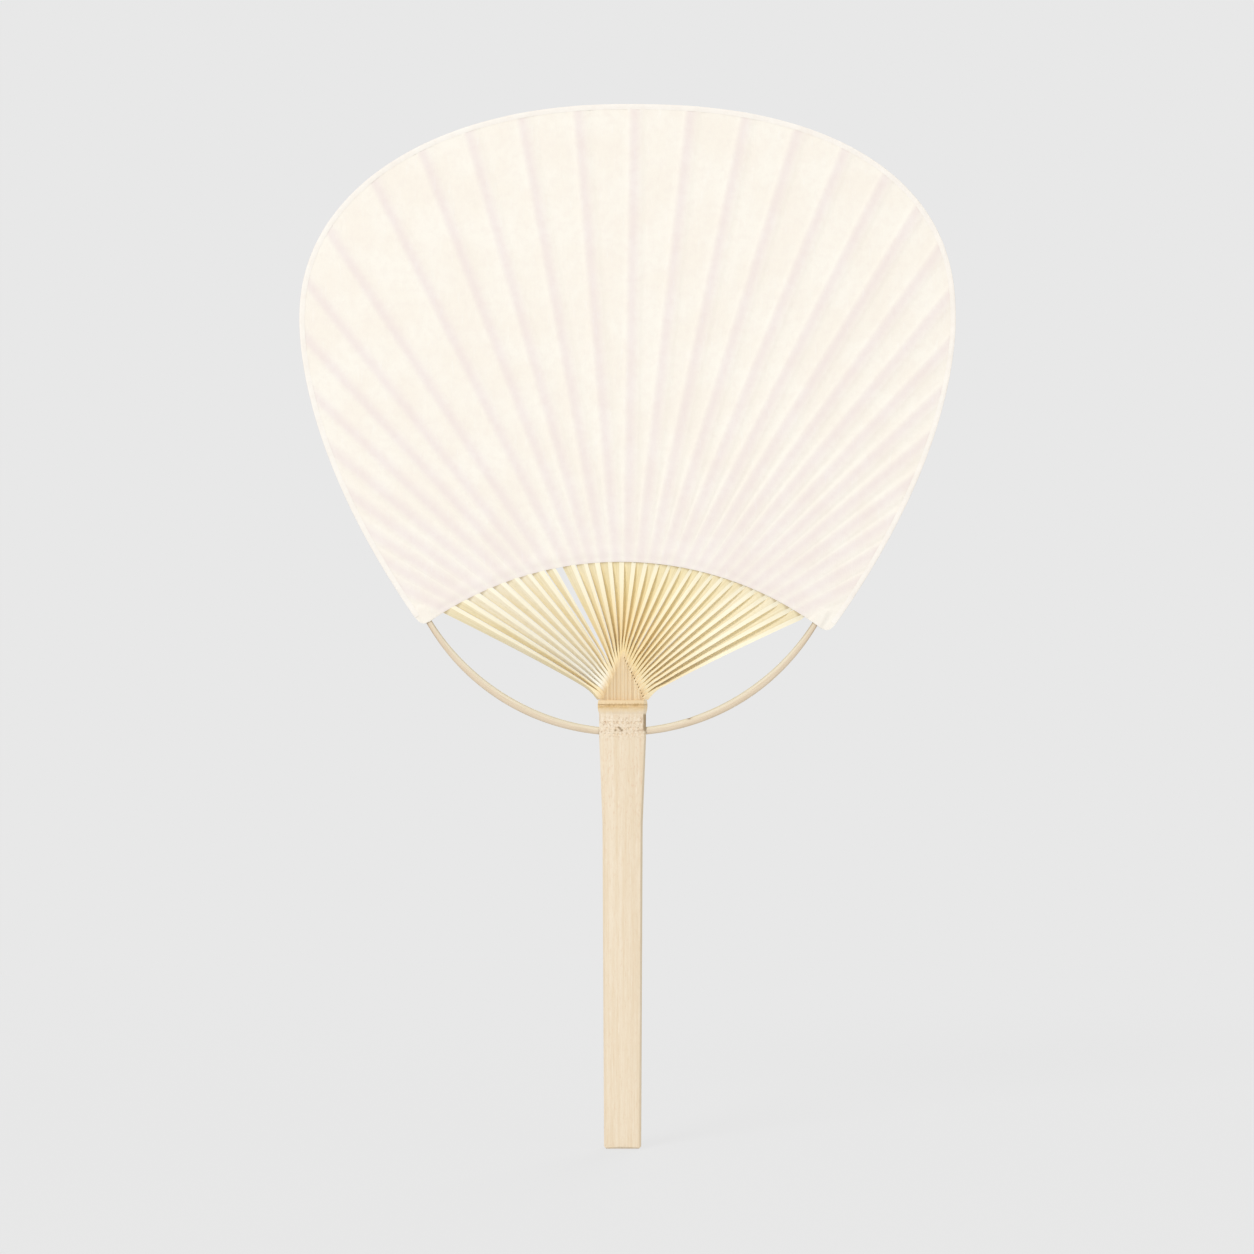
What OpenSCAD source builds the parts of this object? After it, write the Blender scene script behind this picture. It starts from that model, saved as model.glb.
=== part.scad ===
// Round paper fan on a flat bamboo slat: thirty split ribs between two sheets of paper, a bamboo bow
// through the handle and a thread that holds the ribs apart. Upright, front towards -Y, in millimetres.
// Heights are counted from the top of the handle's head; the origin is the middle of the grip.

/* [Handle] */
// Length of the slat from its butt to the top of its head
handle_len = 163; // [150:1:175]
// Height of the middle of the grip above the butt, where the origin lies
grip_h = 60; // [50:1:70]
// Width of the slat at its head
head_w = 17; // [16:0.5:19]
// Width of the slat below the flare
grip_w = 14.6; // [12:0.2:16]
// Width of the slat at its butt
butt_w = 13.5; // [11:0.1:15]
// Thickness of the slat at its middle line
handle_t = 5.4; // [5.2:0.1:7]
// Radius of the bamboo's outer skin, which is the crowned front
skin_r = 48; // [35:1:80]
// Bevel along the long edges and the butt
edge_bevel = 0.8; // [0.4:0.1:1.2]
// Height at which the slat starts to widen
flare_low = -45; // [-60:1:-40]
// Height from which the slat has its head width
flare_high = -14; // [-30:1:-14]

/* [Node ridge] */
// Height of the ridge that the bamboo's node leaves across the head
ridge_z = -2; // [-3.5:0.1:-1.8]
// Height of the ridge along the slat
ridge_h = 6; // [4:0.2:7]
// How far the ridge stands proud of the slat
ridge_proud = 0.55; // [0.3:0.05:0.8]
// Width of the groove under the ridge's crest
groove_w = 1.1; // [0.6:0.1:1.6]
// Number of root pits in each row under the ridge
pit_count = 9; // [5:1:12]
// Height of the upper row of root pits
pit_z = -8; // [-9:0.1:-7]
// Distance between the rows of pits
pit_row = 2.2; // [1.6:0.1:2.4]
// Depth of a root pit
pit_deep = 0.25; // [0.1:0.05:0.4]

/* [Ribs] */
// Number of ribs split from the head
rib_count = 30; // [24:1:34]
// Wall left on each side of the split head
slot_wall = 0.7; // [0.5:0.1:1.2]
// Depth of the split below the top of the head
slot_deep = 6; // [5:0.2:6.5]
// Gap between neighbouring strips in the head
split_gap = 0.05; // [0.03:0.01:0.08]
// Depth of a strip from front to back in the head
root_d = 2.8; // [2.2:0.1:3.2]
// Height of the triangle in which the strips still stand side by side
neck_h = 16; // [12:0.5:20]
// Width of a rib's skin face where it enters the paper
rib_face_w = 2.75; // [2.2:0.05:2.8]
// Widest pale bevel beside that face
bevel_w = 1.2; // [0.8:0.1:1.4]
// Least gap left between two ribs at the paper's edge
slit_min = 0.35; // [0.3:0.05:0.5]
// Thickness of a rib in the paper
rib_t = 0.6; // [0.5:0.05:0.8]
// Distance along the paper's edge from the bow to the outermost rib on each side
bow_gap = 7.75; // [6.8:0.05:10]
// How far right of the handle's axis the ribs converge
fan_x = 1.3; // [0:0.1:2]
// How much higher the middle ribs converge than the outermost ones
fan_rise = 6; // [0:0.2:7]
// Extra width of the one loose gap that the splitting left
loose_w = 1.9; // [0:0.1:3]

/* [Leaf] */
// Overall width of the leaf
leaf_w = 239; // [230:1:250]
// Height of the top of the leaf
leaf_top = 217; // [205:1:235]
// Height of the widest place of the leaf
widest_z = 138.4; // [130:0.2:148]
// How far right of the handle's axis the leaf's middle lies
leaf_x = 1.8; // [0:0.1:3]
// Fullness of the left shoulder, where 2 is an ellipse
left_full = 2.16; // [2:0.01:2.4]
// Fullness of the right shoulder
right_full = 2.35; // [2:0.01:2.6]
// How far each side draws in from the widest place down to the level of the corners
side_drop = 42.6; // [38:0.2:46]
// Height of that level
corner_z = 29.2; // [27:0.2:31]
// How the side curves, where 1 is straight and 2 a parabola
side_power = 1.78; // [1.6:0.02:1.95]
// Radius of the leaf's concave lower edge
edge_r = 122; // [118:1:128]
// Height of the middle of the lower edge
edge_z = 50.3; // [48:0.1:52]
// How far right of the handle's axis the middle of the lower edge lies
edge_x = -0.7; // [-1.5:0.1:1.5]
// Length that the rounding takes from each side of a corner
corner_cut = 3.4; // [2.6:0.2:4.2]

/* [Paper] */
// Thickness of one sheet of paper
paper_t = 0.18; // [0.12:0.02:0.26]
// Gap between a sheet and what it covers
glue_gap = 0.03; // [0.02:0.01:0.05]
// Width of the slope beside a rib in the paper
slope_w = 0.9; // [0.6:0.1:1.4]
// Width of the edge tape on each face
tape_w = 2; // [1.6:0.1:2.2]
// Thickness of the edge tape
tape_t = 0.15; // [0.1:0.01:0.2]

/* [Bow] */
// Height of the bow's middle line where it passes through the handle
bow_z = -11.6; // [-12.4:0.1:-11]
// Distance from the leaf's sides to the bow's middle line at the lashings
bow_in = 5.2; // [5:0.1:6.4]
// Width of the bow in the handle
bow_w = 2.6; // [2.2:0.1:2.8]
// Width of the bow half way along each arm
bow_arm_w = 3.1; // [2.6:0.1:3.4]
// Width of the bow's tips
bow_tip_w = 2.2; // [1.8:0.1:2.4]
// Thickness of the bow from front to back
bow_t = 2.3; // [2:0.1:2.5]
// Thickness of the bow's tips between the papers
bow_tip_t = 0.8; // [0.6:0.1:1]
// Clearance round the bow in the handle's hole
bow_clear = 0.1; // [0.05:0.05:0.15]
// Length of each tip past its lashing
tip_past = 1.5; // [1.2:0.1:1.8]

/* [Thread] */
// Diameter of one thread
thread_d = 0.2; // [0.14:0.02:0.24]
// Distance of the thread inside the lower edge
thread_in = 4; // [3.4:0.1:5]
// Distance between the two threads where they cross between ribs
thread_apart = 0.34; // [0.3:0.02:0.4]
// Length of the lashing on each tip of the bow
tie_len = 2; // [1.6:0.1:2.4]
// Thickness of the lashing
tie_t = 0.2; // [0.15:0.05:0.25]

/* [Hidden] */
rib_names = [for (i = [1:rib_count]) str("rib_", i < 10 ? "0" : "", i)];

bamboo = "#ecd9b8";
rib_gold = "#dcc48c";
paper_white = "#fbf5ec";
thread_tan = "#cdb68a";
large_fn = 180;
round_fn = 64;
small_fn = 24;

// Places in the split head
slot_w = head_w - 2 * slot_wall;
root_pitch = (slot_w - split_gap) / rib_count;
root_t = root_pitch - split_gap;
slot_d = root_d + 2 * split_gap;
slot_floor = -slot_deep;
ridge_r = (ridge_h * ridge_h / 4 + ridge_proud * ridge_proud) / (2 * ridge_proud);
skin_y = skin_r - handle_t / 2;

// Faces of the leaf, counted from its middle plane
rib_pad_y = rib_t / 2 + glue_gap + paper_t;
thread_y = rib_t / 2 + glue_gap + thread_d / 2;
thread_pad_y = thread_y + thread_d / 2 + glue_gap + paper_t;
tie_y = bow_tip_t / 2 + glue_gap + tie_t;
tip_pad_y = max(tie_y + glue_gap, thread_y + thread_d / 2 + glue_gap) + paper_t;
tape_in_y = rib_pad_y + glue_gap;
tape_out_y = tape_in_y + tape_t;
paper_in = tape_t + glue_gap;

function lerp(a, b, t) = a + (b - a) * t;
function side_of(x) = x < 0 ? -1 : 1;
function root_of(f, lo, hi, n = 40) =
    n == 0 ? (lo + hi) / 2
    : let (mid = (lo + hi) / 2) f(mid) * f(lo) > 0 ? root_of(f, mid, hi, n - 1) : root_of(f, lo, mid, n - 1);

// Outline of the leaf: points are [across, up]
half_w = leaf_w / 2;
edge_c = [edge_x, edge_z - edge_r];
thread_r = edge_r + thread_in;
function side_x(side, z) =
    leaf_x + side * (half_w - side_drop * pow((widest_z - z) / (widest_z - corner_z), side_power));
// Height at which a side meets a circle round the lower edge's centre
function side_meets(side, r) =
    let (gap = function (z) norm([side_x(side, z), z] - edge_c) - r)
    root_of(gap, edge_c[1] + edge_r / 2, edge_z);
function corner_at(side) = side_meets(side, edge_r);
function edge_angle(x) = asin((x - edge_c[0]) / edge_r);
function edge_point(angle, r = edge_r) = edge_c + r * [sin(angle), cos(angle)];
function bend(a, b, c, t) = lerp(lerp(a, b, t), lerp(b, c, t), t);
function shoulder(full, angle) =
    [leaf_x + side_of(cos(angle)) * half_w * pow(abs(cos(angle)), 2 / full),
     widest_z + (leaf_top - widest_z) * pow(abs(sin(angle)), 2 / full)];
corner_steps = 5;
side_steps = 11;
shoulder_steps = 15;
edge_steps = 24;
function corner_angle(side) =
    edge_angle(side_x(side, corner_at(side))) - side * corner_cut / edge_r * 180 / PI;
function corner_path(side) =
    let (z = corner_at(side), sharp = [side_x(side, z), z], up = z + corner_cut)
    [for (k = [0:corner_steps - 1]) bend(edge_point(corner_angle(side)), sharp,
        [side_x(side, up), up], k / corner_steps)];
function side_path(side) =
    let (low = corner_at(side) + corner_cut)
    [for (k = [0:side_steps]) let (z = lerp(low, widest_z, k / side_steps)) [side_x(side, z), z]];
function reversed(list) = [for (k = [len(list) - 1:-1:0]) list[k]];
taped_rim = concat(side_path(-1),
    [for (k = [1:shoulder_steps]) shoulder(left_full, 180 - 90 * k / shoulder_steps)],
    [for (k = [1:shoulder_steps - 1]) shoulder(right_full, 90 - 90 * k / shoulder_steps)],
    reversed(side_path(1)));
// A path moved inwards by a distance, along its own normals
function inwards(path, inset) = [for (k = [0:len(path) - 1])
    let (along = path[min(k + 1, len(path) - 1)] - path[max(k - 1, 0)])
    path[k] + inset * [along[1], -along[0]] / norm(along)];
function leaf_outline(inset) = concat(
    inwards(concat(corner_path(-1), taped_rim, reversed(corner_path(1))), inset),
    [for (k = [1:edge_steps - 1])
        edge_point(lerp(corner_angle(1), corner_angle(-1), k / edge_steps))]);
// Everything within the rim, down past the leaf's lower edge
function within_rim(inset) =
    let (path = inwards(taped_rim, inset))
    concat(path, [[path[len(path) - 1][0], 2 * slot_floor], [path[0][0], 2 * slot_floor]]);

// The ribs: hand splitting leaves them unevenly spread, which a few slow waves and one loose gap describe
spread_waves = [3.7, 0.1, -0.9, -0.1, -0.3];
function wave_sum(u, k = 0) =
    k == len(spread_waves) ? 0 : spread_waves[k] * sin(180 * (k + 1) * u) + wave_sum(u, k + 1);
// The loose gap's place, counted in ribs from the left, and how many ribs on each side it pushes away
loose_at = 8.5;
loose_reach = 1.45;
function loosened(i) =
    let (away = (i - loose_at) / loose_reach) loose_w * away * exp(-away * away);
function outer_rib_x(side) =
    let (p = bow_point(side * bow_meets(side, edge_r)) - edge_c)
    edge_point(atan2(p[0], p[1]) - side * bow_gap / edge_r * 180 / PI)[0];
function rib_entry(i) =
    let (u = i / (rib_count - 1))
    edge_point(edge_angle(lerp(outer_rib_x(-1), outer_rib_x(1), u) + wave_sum(u) + loosened(i)));
function rib_angle(i) =
    let (p = rib_entry(i), out = 2 * i / (rib_count - 1) - 1)
    atan2(p[0] - fan_x, p[1] - fan_rise * (1 - out * out));
function rib_dir(i) = [sin(rib_angle(i)), cos(rib_angle(i))];
function rib_room(i) =
    let (j = min(i, rib_count - 2), a = rib_angle(j)) (rib_entry(j + 1) - rib_entry(j)) * [cos(a), -sin(a)];
function rib_bevel(i) = max(0, min(bevel_w, rib_room(i) - rib_face_w - slit_min));
function root_x(i) = (i - (rib_count - 1) / 2) * root_pitch;
function leave_z(i) = neck_h * (1 - abs(root_x(i)) / (slot_w / 2));

// A rib's middle line from the stack to the paper is one Bezier curve, straight up at its start
bend_steps = 9;
bend_crowding = 1.4;
start_pull = 2.5;
end_pull = 0.35;
twist_pace = 1.1;
function curve(a, b, c, d, t) = lerp(bend(a, b, c, t), bend(b, c, d, t), t);
function slope_of(a, b, c, d, t) = bend(b - a, c - b, d - c, t);
function rib_ring(i, t) =
    let (a = [root_x(i), leave_z(i)], d = rib_entry(i), reach = norm(d - a),
        b = a + [0, start_pull], c = d - rib_dir(i) * reach * end_pull,
        p = curve(a, b, c, d, t), s = slope_of(a, b, c, d, t))
    section(i, p, atan2(s[0], s[1]), norm(p - a) / reach);
// Four corners of a rib: the skin turns from the left side in the head to the front in the paper
function section(i, p, lean, u) =
    let (twist = 90 * pow(min(u, 1), twist_pace),
        across = [cos(lean) * sin(twist), -cos(twist), -sin(lean) * sin(twist)],
        back = [cos(lean) * cos(twist), sin(twist), -sin(lean) * cos(twist)],
        t = lerp(root_t, rib_t, u) / 2,
        left = -lerp(root_d, rib_face_w, u) / 2,
        face = lerp(root_d / 2, rib_face_w / 2, u),
        right = face + rib_bevel(i) * u * u)
    [for (c = [[left, -t], [face, -t], [right, t], [left, t]])
        [p[0], 0, p[1]] + c[0] * across + c[1] * back];
function rib_rings(i) = concat(
    [section(i, [root_x(i), slot_floor + split_gap], 0, 0)],
    [for (k = [0:bend_steps]) rib_ring(i, pow(k / bend_steps, bend_crowding))],
    [section(i, rib_entry(i) + rib_dir(i) * leaf_top, rib_angle(i), 1)]);

// The bow: an arc through the handle, thinned where its tips lie between the papers
tip_x = (lashed_at(1)[0] - lashed_at(-1)[0]) / 2;
tip_rise = (lashed_at(1)[1] + lashed_at(-1)[1]) / 2 - bow_z;
bow_r = (tip_x * tip_x + tip_rise * tip_rise) / (2 * tip_rise);
bow_c = [0, bow_z + bow_r];
function arc_turn(length) = length / thread_r * 180 / PI;
function lashed_at(side) =
    let (z = side_meets(side, thread_r), p = [side_x(side, z), z] - edge_c)
    edge_point(atan2(p[0], p[1]) - side * arc_turn(bow_in), thread_r);
bow_steps = 28;
bow_sides = 8;
// The turns from the handle between which each arm meets the paper
least_turn = 20;
most_turn = 85;
function bow_point(angle) = bow_c + bow_r * [sin(angle), -cos(angle)];
function bow_meets(side, r) =
    let (gap = function (a) norm(bow_point(side * a) - edge_c) - r) root_of(gap, least_turn, most_turn);
function bow_end(side) = bow_meets(side, thread_r) + tip_past / bow_r * 180 / PI;
bow_rise = bow_r - sqrt(bow_r * bow_r - head_w * head_w / 4);
bore_d = bow_w + bow_rise + 2 * bow_clear;
thin_len = 12;
function bow_width(u) =
    u < 0.5 ? lerp(bow_w, bow_arm_w, sin(180 * u)) : lerp(bow_arm_w, bow_tip_w, 1 - sin(180 * u));
function bow_section(side, angle) =
    let (enter = bow_meets(side, edge_r), p = bow_point(side * angle),
        w = bow_width(min(1, angle / enter)) / 2,
        thin = min(1, max(0, 1 - (enter - angle) * PI / 180 * bow_r / thin_len)),
        t = lerp(bow_t, bow_tip_t, thin) / 2,
        out = [sin(side * angle), -cos(side * angle)])
    [for (k = [0:bow_sides - 1]) let (q = 360 * k / bow_sides)
        [p[0] + out[0] * w * cos(q), t * sin(q), p[1] + out[1] * w * cos(q)]];
function bow_rings() = concat(
    [for (k = [bow_steps:-1:1]) bow_section(-1, bow_end(-1) * k / bow_steps)],
    [for (k = [0:bow_steps]) bow_section(1, bow_end(1) * k / bow_steps)]);

// The threads: each passes in front of one rib and behind the next, and changes over in the slit between
thread_sides = 6;
// Length along the arc in which a thread changes sides
cross_run = 0.08;
function tie_angle(side) =
    let (p = bow_point(side * bow_meets(side, thread_r)) - edge_c) atan2(p[0], p[1]);
tie_out = bow_tip_w / 2 + glue_gap + tie_t;
// Where a line at some distance to the right of a rib's middle meets the thread's arc, as an angle
function rib_at_thread(i, right) =
    let (d = rib_dir(i), p = rib_entry(i) - edge_c + right * [d[1], -d[0]], q = p * d,
        x = p + d * (sqrt(q * q + thread_r * thread_r - p * p) - q))
    atan2(x[0], x[1]);
function slit_angle(i) =
    i == 0 ? rib_at_thread(0, -rib_face_w / 2) - arc_turn(slit_min)
    : i == rib_count ? rib_at_thread(i - 1, rib_face_w / 2 + rib_bevel(i - 1)) + arc_turn(slit_min)
    : (rib_at_thread(i - 1, rib_face_w / 2 + rib_bevel(i - 1)) + rib_at_thread(i, -rib_face_w / 2)) / 2;
// A thread ends just short of the slanted side of the lashing
function tie_lean(side) = abs(90 - bow_meets(side, thread_r) - abs(tie_angle(side)));
function thread_stop(side) =
    let (lean = tie_lean(side), slant = (thread_apart + thread_d) / 2 * tan(lean))
    tie_angle(side) - side * arc_turn((tie_out + glue_gap) / cos(lean) + slant);
// Corners of a thread's way as [angle along the arc, depth]
function thread_way(hand) = concat(
    [[thread_stop(-1), 0]],
    [for (i = [0:rib_count - 1]) let (y = (i % 2 == 0 ? -hand : hand) * thread_y)
        each [[slit_angle(i) + arc_turn(cross_run / 2), y],
            [slit_angle(i + 1) - arc_turn(cross_run / 2), y]]],
    [[thread_stop(1), 0]]);
function thread_rings(hand) =
    let (way = thread_way(hand), r = thread_r + hand * thread_apart / 2, last = len(way) - 1,
        at = [for (w = way) [edge_c[0] + r * sin(w[0]), w[1], edge_c[1] + r * cos(w[0])]])
    [for (k = [0:last])
        let (a = at[max(k - 1, 0)], b = at[k], c = at[min(k + 1, last)],
            before = k == 0 ? [0, 0, 0] : (b - a) / norm(b - a),
            after = k == last ? [0, 0, 0] : (c - b) / norm(c - b),
            out = [sin(way[k][0]), 0, cos(way[k][0])],
            over = cross(before + after, out), side = over / norm(over))
        [for (s = [0:thread_sides - 1]) let (q = 360 * s / thread_sides)
            b + thread_d / 2 * (cos(q) * out + sin(q) * side)]];

// A solid swept through rings of points, with flat caps
module swept(rings) {
    n = len(rings[0]);
    last = (len(rings) - 1) * n;
    sides = [for (k = [0:len(rings) - 2]) for (j = [0:n - 1])
        let (a = k * n + j, b = k * n + (j + 1) % n) each [[a, a + n, b + n], [a, b + n, b]]];
    polyhedron([for (ring = rings) each ring],
        concat([[for (j = [0:n - 1]) j]], sides, [[for (j = [n - 1:-1:0]) last + j]]));
}

// Everything is drawn round the top of the head and lifted until the grip's middle is at the origin
module on_grip() {
    translate([0, 0, handle_len - grip_h]) children();
}

// A flat outline [across, up] made into a plate between two depths
module plate(points, y_near, y_far) {
    translate([0, y_far, 0]) rotate([90, 0, 0]) linear_extrude(y_far - y_near) polygon(points);
}

// A straight bar of a cross-section [across, depth], from a point of the leaf along a direction
module bar(from, angle, length, profile) {
    translate([from[0], 0, from[1]]) rotate([0, angle, 0]) linear_extrude(length) polygon(profile);
}

module ring_round(c, r, profile) {
    translate([c[0], 0, c[1]]) rotate([90, 0, 0]) rotate_extrude($fn = large_fn)
        polygon([for (q = profile) [r + q[0], q[1]]]);
}

// Handle
slat_levels = [[-handle_len, butt_w], [flare_low, grip_w], [flare_high, head_w], [0, head_w]];
module slat_outline() {
    polygon(concat([for (q = slat_levels) [-q[1] / 2, q[0]]],
        [for (q = reversed(slat_levels)) [q[1] / 2, q[0]]]));
}

module skin_crown() {
    translate([0, skin_y, -handle_len]) cylinder(h = handle_len, r = skin_r, $fn = large_fn);
}

// Cuts one long edge between two levels, on the front or the back
module edge_cut(low, high, side, face_y) {
    across = (high[1] - low[1]) / 2;
    up = high[0] - low[0];
    run = norm([across, up]);
    past = 1;
    translate([side * low[1] / 2, face_y, low[0]]) rotate([0, side * atan2(across, up), 0])
        translate([0, 0, -past]) linear_extrude(run + 2 * past)
            polygon([[-side * edge_bevel, 0], [0, -sign(face_y) * edge_bevel],
                [side * past, -sign(face_y) * (edge_bevel + past)],
                [side * past, sign(face_y) * past], [-side * edge_bevel, sign(face_y) * past]]);
}

module slat() {
    difference() {
        intersection() {
            translate([0, handle_t / 2, 0]) rotate([90, 0, 0]) linear_extrude(handle_t) slat_outline();
            skin_crown();
        }
        crown_drop = skin_r - sqrt(skin_r * skin_r - head_w * head_w / 4);
        for (k = [0:len(slat_levels) - 2], side = [-1, 1]) {
            edge_cut(slat_levels[k], slat_levels[k + 1], side, handle_t / 2);
            edge_cut(slat_levels[k], slat_levels[k + 1], side, -handle_t / 2 + crown_drop / 2);
        }
        for (side = [-1, 1]) {
            translate([side * butt_w / 2, 0, -handle_len]) butt_cut();
            translate([0, side * handle_t / 2, -handle_len]) rotate([0, 0, 90]) butt_cut();
        }
    }
}

module butt_cut() {
    rotate([0, 45, 0]) cube([edge_bevel * sqrt(2), 2 * butt_w, edge_bevel * sqrt(2)], center = true);
}

module node_ridge() {
    side_x = head_w / 2 + ridge_proud - ridge_r;
    intersection() {
        translate([0, skin_y, ridge_z]) rotate_extrude($fn = large_fn)
            translate([skin_r + ridge_proud - ridge_r, 0]) circle(ridge_r, $fn = round_fn);
        translate([0, handle_t / 2 - edge_bevel / 2, 0]) rotate([90, 0, 0]) linear_extrude(2 * handle_t)
            intersection() {
                union() {
                    translate([side_x, ridge_z]) circle(ridge_r, $fn = round_fn);
                    translate([-side_x, ridge_z]) circle(ridge_r, $fn = round_fn);
                }
                translate([-head_w, -handle_len]) square([2 * head_w, handle_len]);
            }
    }
}

module root_pits() {
    pit_r = pit_deep * 2;
    reach = (head_w - 5 * edge_bevel) / 2;
    for (row = [0:2], k = [0:pit_count - 1 - row % 2]) {
        x = lerp(-reach, reach, (k + (row % 2) / 2) / (pit_count - 1));
        translate([x, skin_y - sqrt(skin_r * skin_r - x * x) - pit_r + pit_deep, pit_z - row * pit_row])
            sphere(pit_r, $fn = small_fn);
    }
}

module handle() {
    color(bamboo) on_grip() difference() {
        union() {
            slat();
            node_ridge();
        }
        translate([-slot_w / 2, -slot_d / 2, slot_floor]) cube([slot_w, slot_d, 2 * slot_deep]);
        translate([-head_w, 0, bow_z + bow_rise / 2]) rotate([0, 90, 0])
            cylinder(h = 2 * head_w, d = bore_d, $fn = round_fn);
        translate([0, skin_y, ridge_z]) rotate_extrude($fn = large_fn)
            translate([skin_r + ridge_proud, 0]) circle(d = groove_w, $fn = small_fn);
        root_pits();
    }
}

module bow() {
    color(bamboo) on_grip() swept(bow_rings());
}

// One lashing: a flat sleeve of thread round the bow's tip
module sleeve(width, thick, length) {
    r = thick / 2;
    translate([0, 0, -length / 2]) {
        for (side = [-1, 1]) translate([side * (width / 2 - r), 0, 0])
            cylinder(h = length, r = r, $fn = small_fn);
        translate([r - width / 2, -r, 0]) cube([width - thick, thick, length]);
    }
}

module at_tip(side) {
    angle = side * bow_meets(side, thread_r);
    p = bow_point(angle);
    translate([p[0], 0, p[1]]) rotate([0, 90 - angle, 0]) children();
}

tip_hole_w = bow_tip_w + 2 * glue_gap;
tip_hole_t = bow_tip_t + 2 * glue_gap;
module tie(side) {
    color(thread_tan) on_grip() at_tip(side) difference() {
        sleeve(tip_hole_w + 2 * tie_t, tip_hole_t + 2 * tie_t, tie_len);
        cube([tip_hole_w, tip_hole_t, 2 * tie_len], center = true);
    }
}

module thread(hand) {
    color(thread_tan) on_grip() swept(thread_rings(hand));
}

module rib(i) {
    color(rib_gold) on_grip() intersection() {
        swept(rib_rings(i));
        plate(within_rim(paper_in + glue_gap), -root_d, root_d);
    }
}

// Paper: a thin sheet with a raised fold over everything that it covers, and a pocket under each fold
pad_start = 8;
function rib_foot(i) = rib_entry(i) - pad_start * rib_dir(i);
module rib_fold(i) {
    left = rib_face_w / 2 + glue_gap;
    right = left + rib_bevel(i);
    bar(rib_foot(i), rib_angle(i), leaf_top, [[-left - slope_w, -glue_gap], [-left, -rib_pad_y],
        [right, -rib_pad_y], [right + slope_w, -glue_gap]]);
}

module rib_pocket(i) {
    left = rib_face_w / 2 + glue_gap;
    right = left + rib_bevel(i);
    deep = rib_t / 2 + glue_gap;
    bar(rib_foot(i), rib_angle(i), leaf_top, [[-left, deep], [-left, -deep], [right, -deep], [right, deep]]);
}

thread_half = (thread_apart + thread_d) / 2 + 2 * glue_gap;
module thread_fold() {
    ring_round(edge_c, thread_r, [[-thread_half - slope_w, glue_gap], [-thread_half, thread_pad_y],
        [thread_half, thread_pad_y], [thread_half + slope_w, glue_gap]]);
}

module thread_pocket() {
    deep = thread_pad_y - paper_t;
    ring_round(edge_c, thread_r, [[-thread_half, -deep], [-thread_half, deep],
        [thread_half, deep], [thread_half, -deep]]);
}

tip_half = tie_out + 2 * glue_gap;
tip_room = tip_past + glue_gap;
module tip_fold(side) {
    at_tip(side) translate([0, 0, side * (tip_room + paper_t)]) rotate([side > 0 ? 180 : 0, 0, 0])
        linear_extrude(pad_start + tip_room) mirror([0, side > 0 ? 1 : 0, 0])
            polygon([[-tip_half - slope_w, -glue_gap], [-tip_half, -tip_pad_y],
                [tip_half, -tip_pad_y], [tip_half + slope_w, -glue_gap]]);
}

module tip_pocket(side) {
    deep = tip_pad_y - paper_t;
    at_tip(side) translate([-tip_half, -deep, side > 0 ? -2 * pad_start : -tip_room])
        cube([2 * tip_half, 2 * deep, 2 * pad_start + tip_room]);
}

module inside_tape() {
    intersection() {
        children();
        plate(within_rim(tape_w + glue_gap), -2 * tip_pad_y, 2 * tip_pad_y);
    }
}

module sheet() {
    difference() {
        intersection() {
            union() {
                plate(leaf_outline(paper_in), -glue_gap - paper_t, -glue_gap);
                for (i = [0:rib_count - 1]) rib_fold(i);
                inside_tape() thread_fold();
                inside_tape() for (side = [-1, 1]) tip_fold(side);
            }
            plate(leaf_outline(paper_in), -2 * tip_pad_y, -glue_gap);
        }
        for (i = [0:rib_count - 1]) rib_pocket(i);
        inside_tape() thread_pocket();
        inside_tape() for (side = [-1, 1]) tip_pocket(side);
    }
}

module paper_front() {
    color(paper_white) on_grip() sheet();
}

module paper_back() {
    color(paper_white) on_grip() mirror([0, 1, 0]) sheet();
}

// Edge tape: a strip folded over the rim from one lower corner to the other
module rim_tape() {
    color(paper_white) on_grip() difference() {
        plate(concat(taped_rim, reversed(inwards(taped_rim, tape_w))), -tape_out_y, tape_out_y);
        plate(leaf_outline(tape_t), -tape_in_y, tape_in_y);
    }
}

handle();
bow();
tie(-1);  // tie_left
tie(1);  // tie_right
thread(1);  // thread_front
thread(-1);  // thread_back
for (i = [0:rib_count - 1]) rib(i);
paper_front();
paper_back();
rim_tape();
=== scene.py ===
"""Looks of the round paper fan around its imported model. Upright, front towards -Y, in metres.

The fan's own shapes are worked out in millimetres, as across, depth and height above the top of the
handle's head, and new_piece() brings them into the frame."""
import math

import bmesh
import bpy
import numpy as np
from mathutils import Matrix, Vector, noise


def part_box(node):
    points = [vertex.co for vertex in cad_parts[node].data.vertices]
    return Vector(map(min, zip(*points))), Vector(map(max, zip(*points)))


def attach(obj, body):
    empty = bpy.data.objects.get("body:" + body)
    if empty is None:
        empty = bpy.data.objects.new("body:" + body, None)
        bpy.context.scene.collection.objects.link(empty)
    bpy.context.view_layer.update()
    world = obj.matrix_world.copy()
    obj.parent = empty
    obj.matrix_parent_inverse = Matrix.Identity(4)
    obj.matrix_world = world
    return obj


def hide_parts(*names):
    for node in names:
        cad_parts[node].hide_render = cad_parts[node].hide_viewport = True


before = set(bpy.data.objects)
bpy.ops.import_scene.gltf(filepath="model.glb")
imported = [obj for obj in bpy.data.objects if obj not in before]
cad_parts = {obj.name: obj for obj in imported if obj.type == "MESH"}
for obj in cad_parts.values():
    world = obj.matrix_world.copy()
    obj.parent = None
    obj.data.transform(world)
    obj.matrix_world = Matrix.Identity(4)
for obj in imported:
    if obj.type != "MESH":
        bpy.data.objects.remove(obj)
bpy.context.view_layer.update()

# Scale and place of the fan's own coordinates
MM = 0.001
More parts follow.
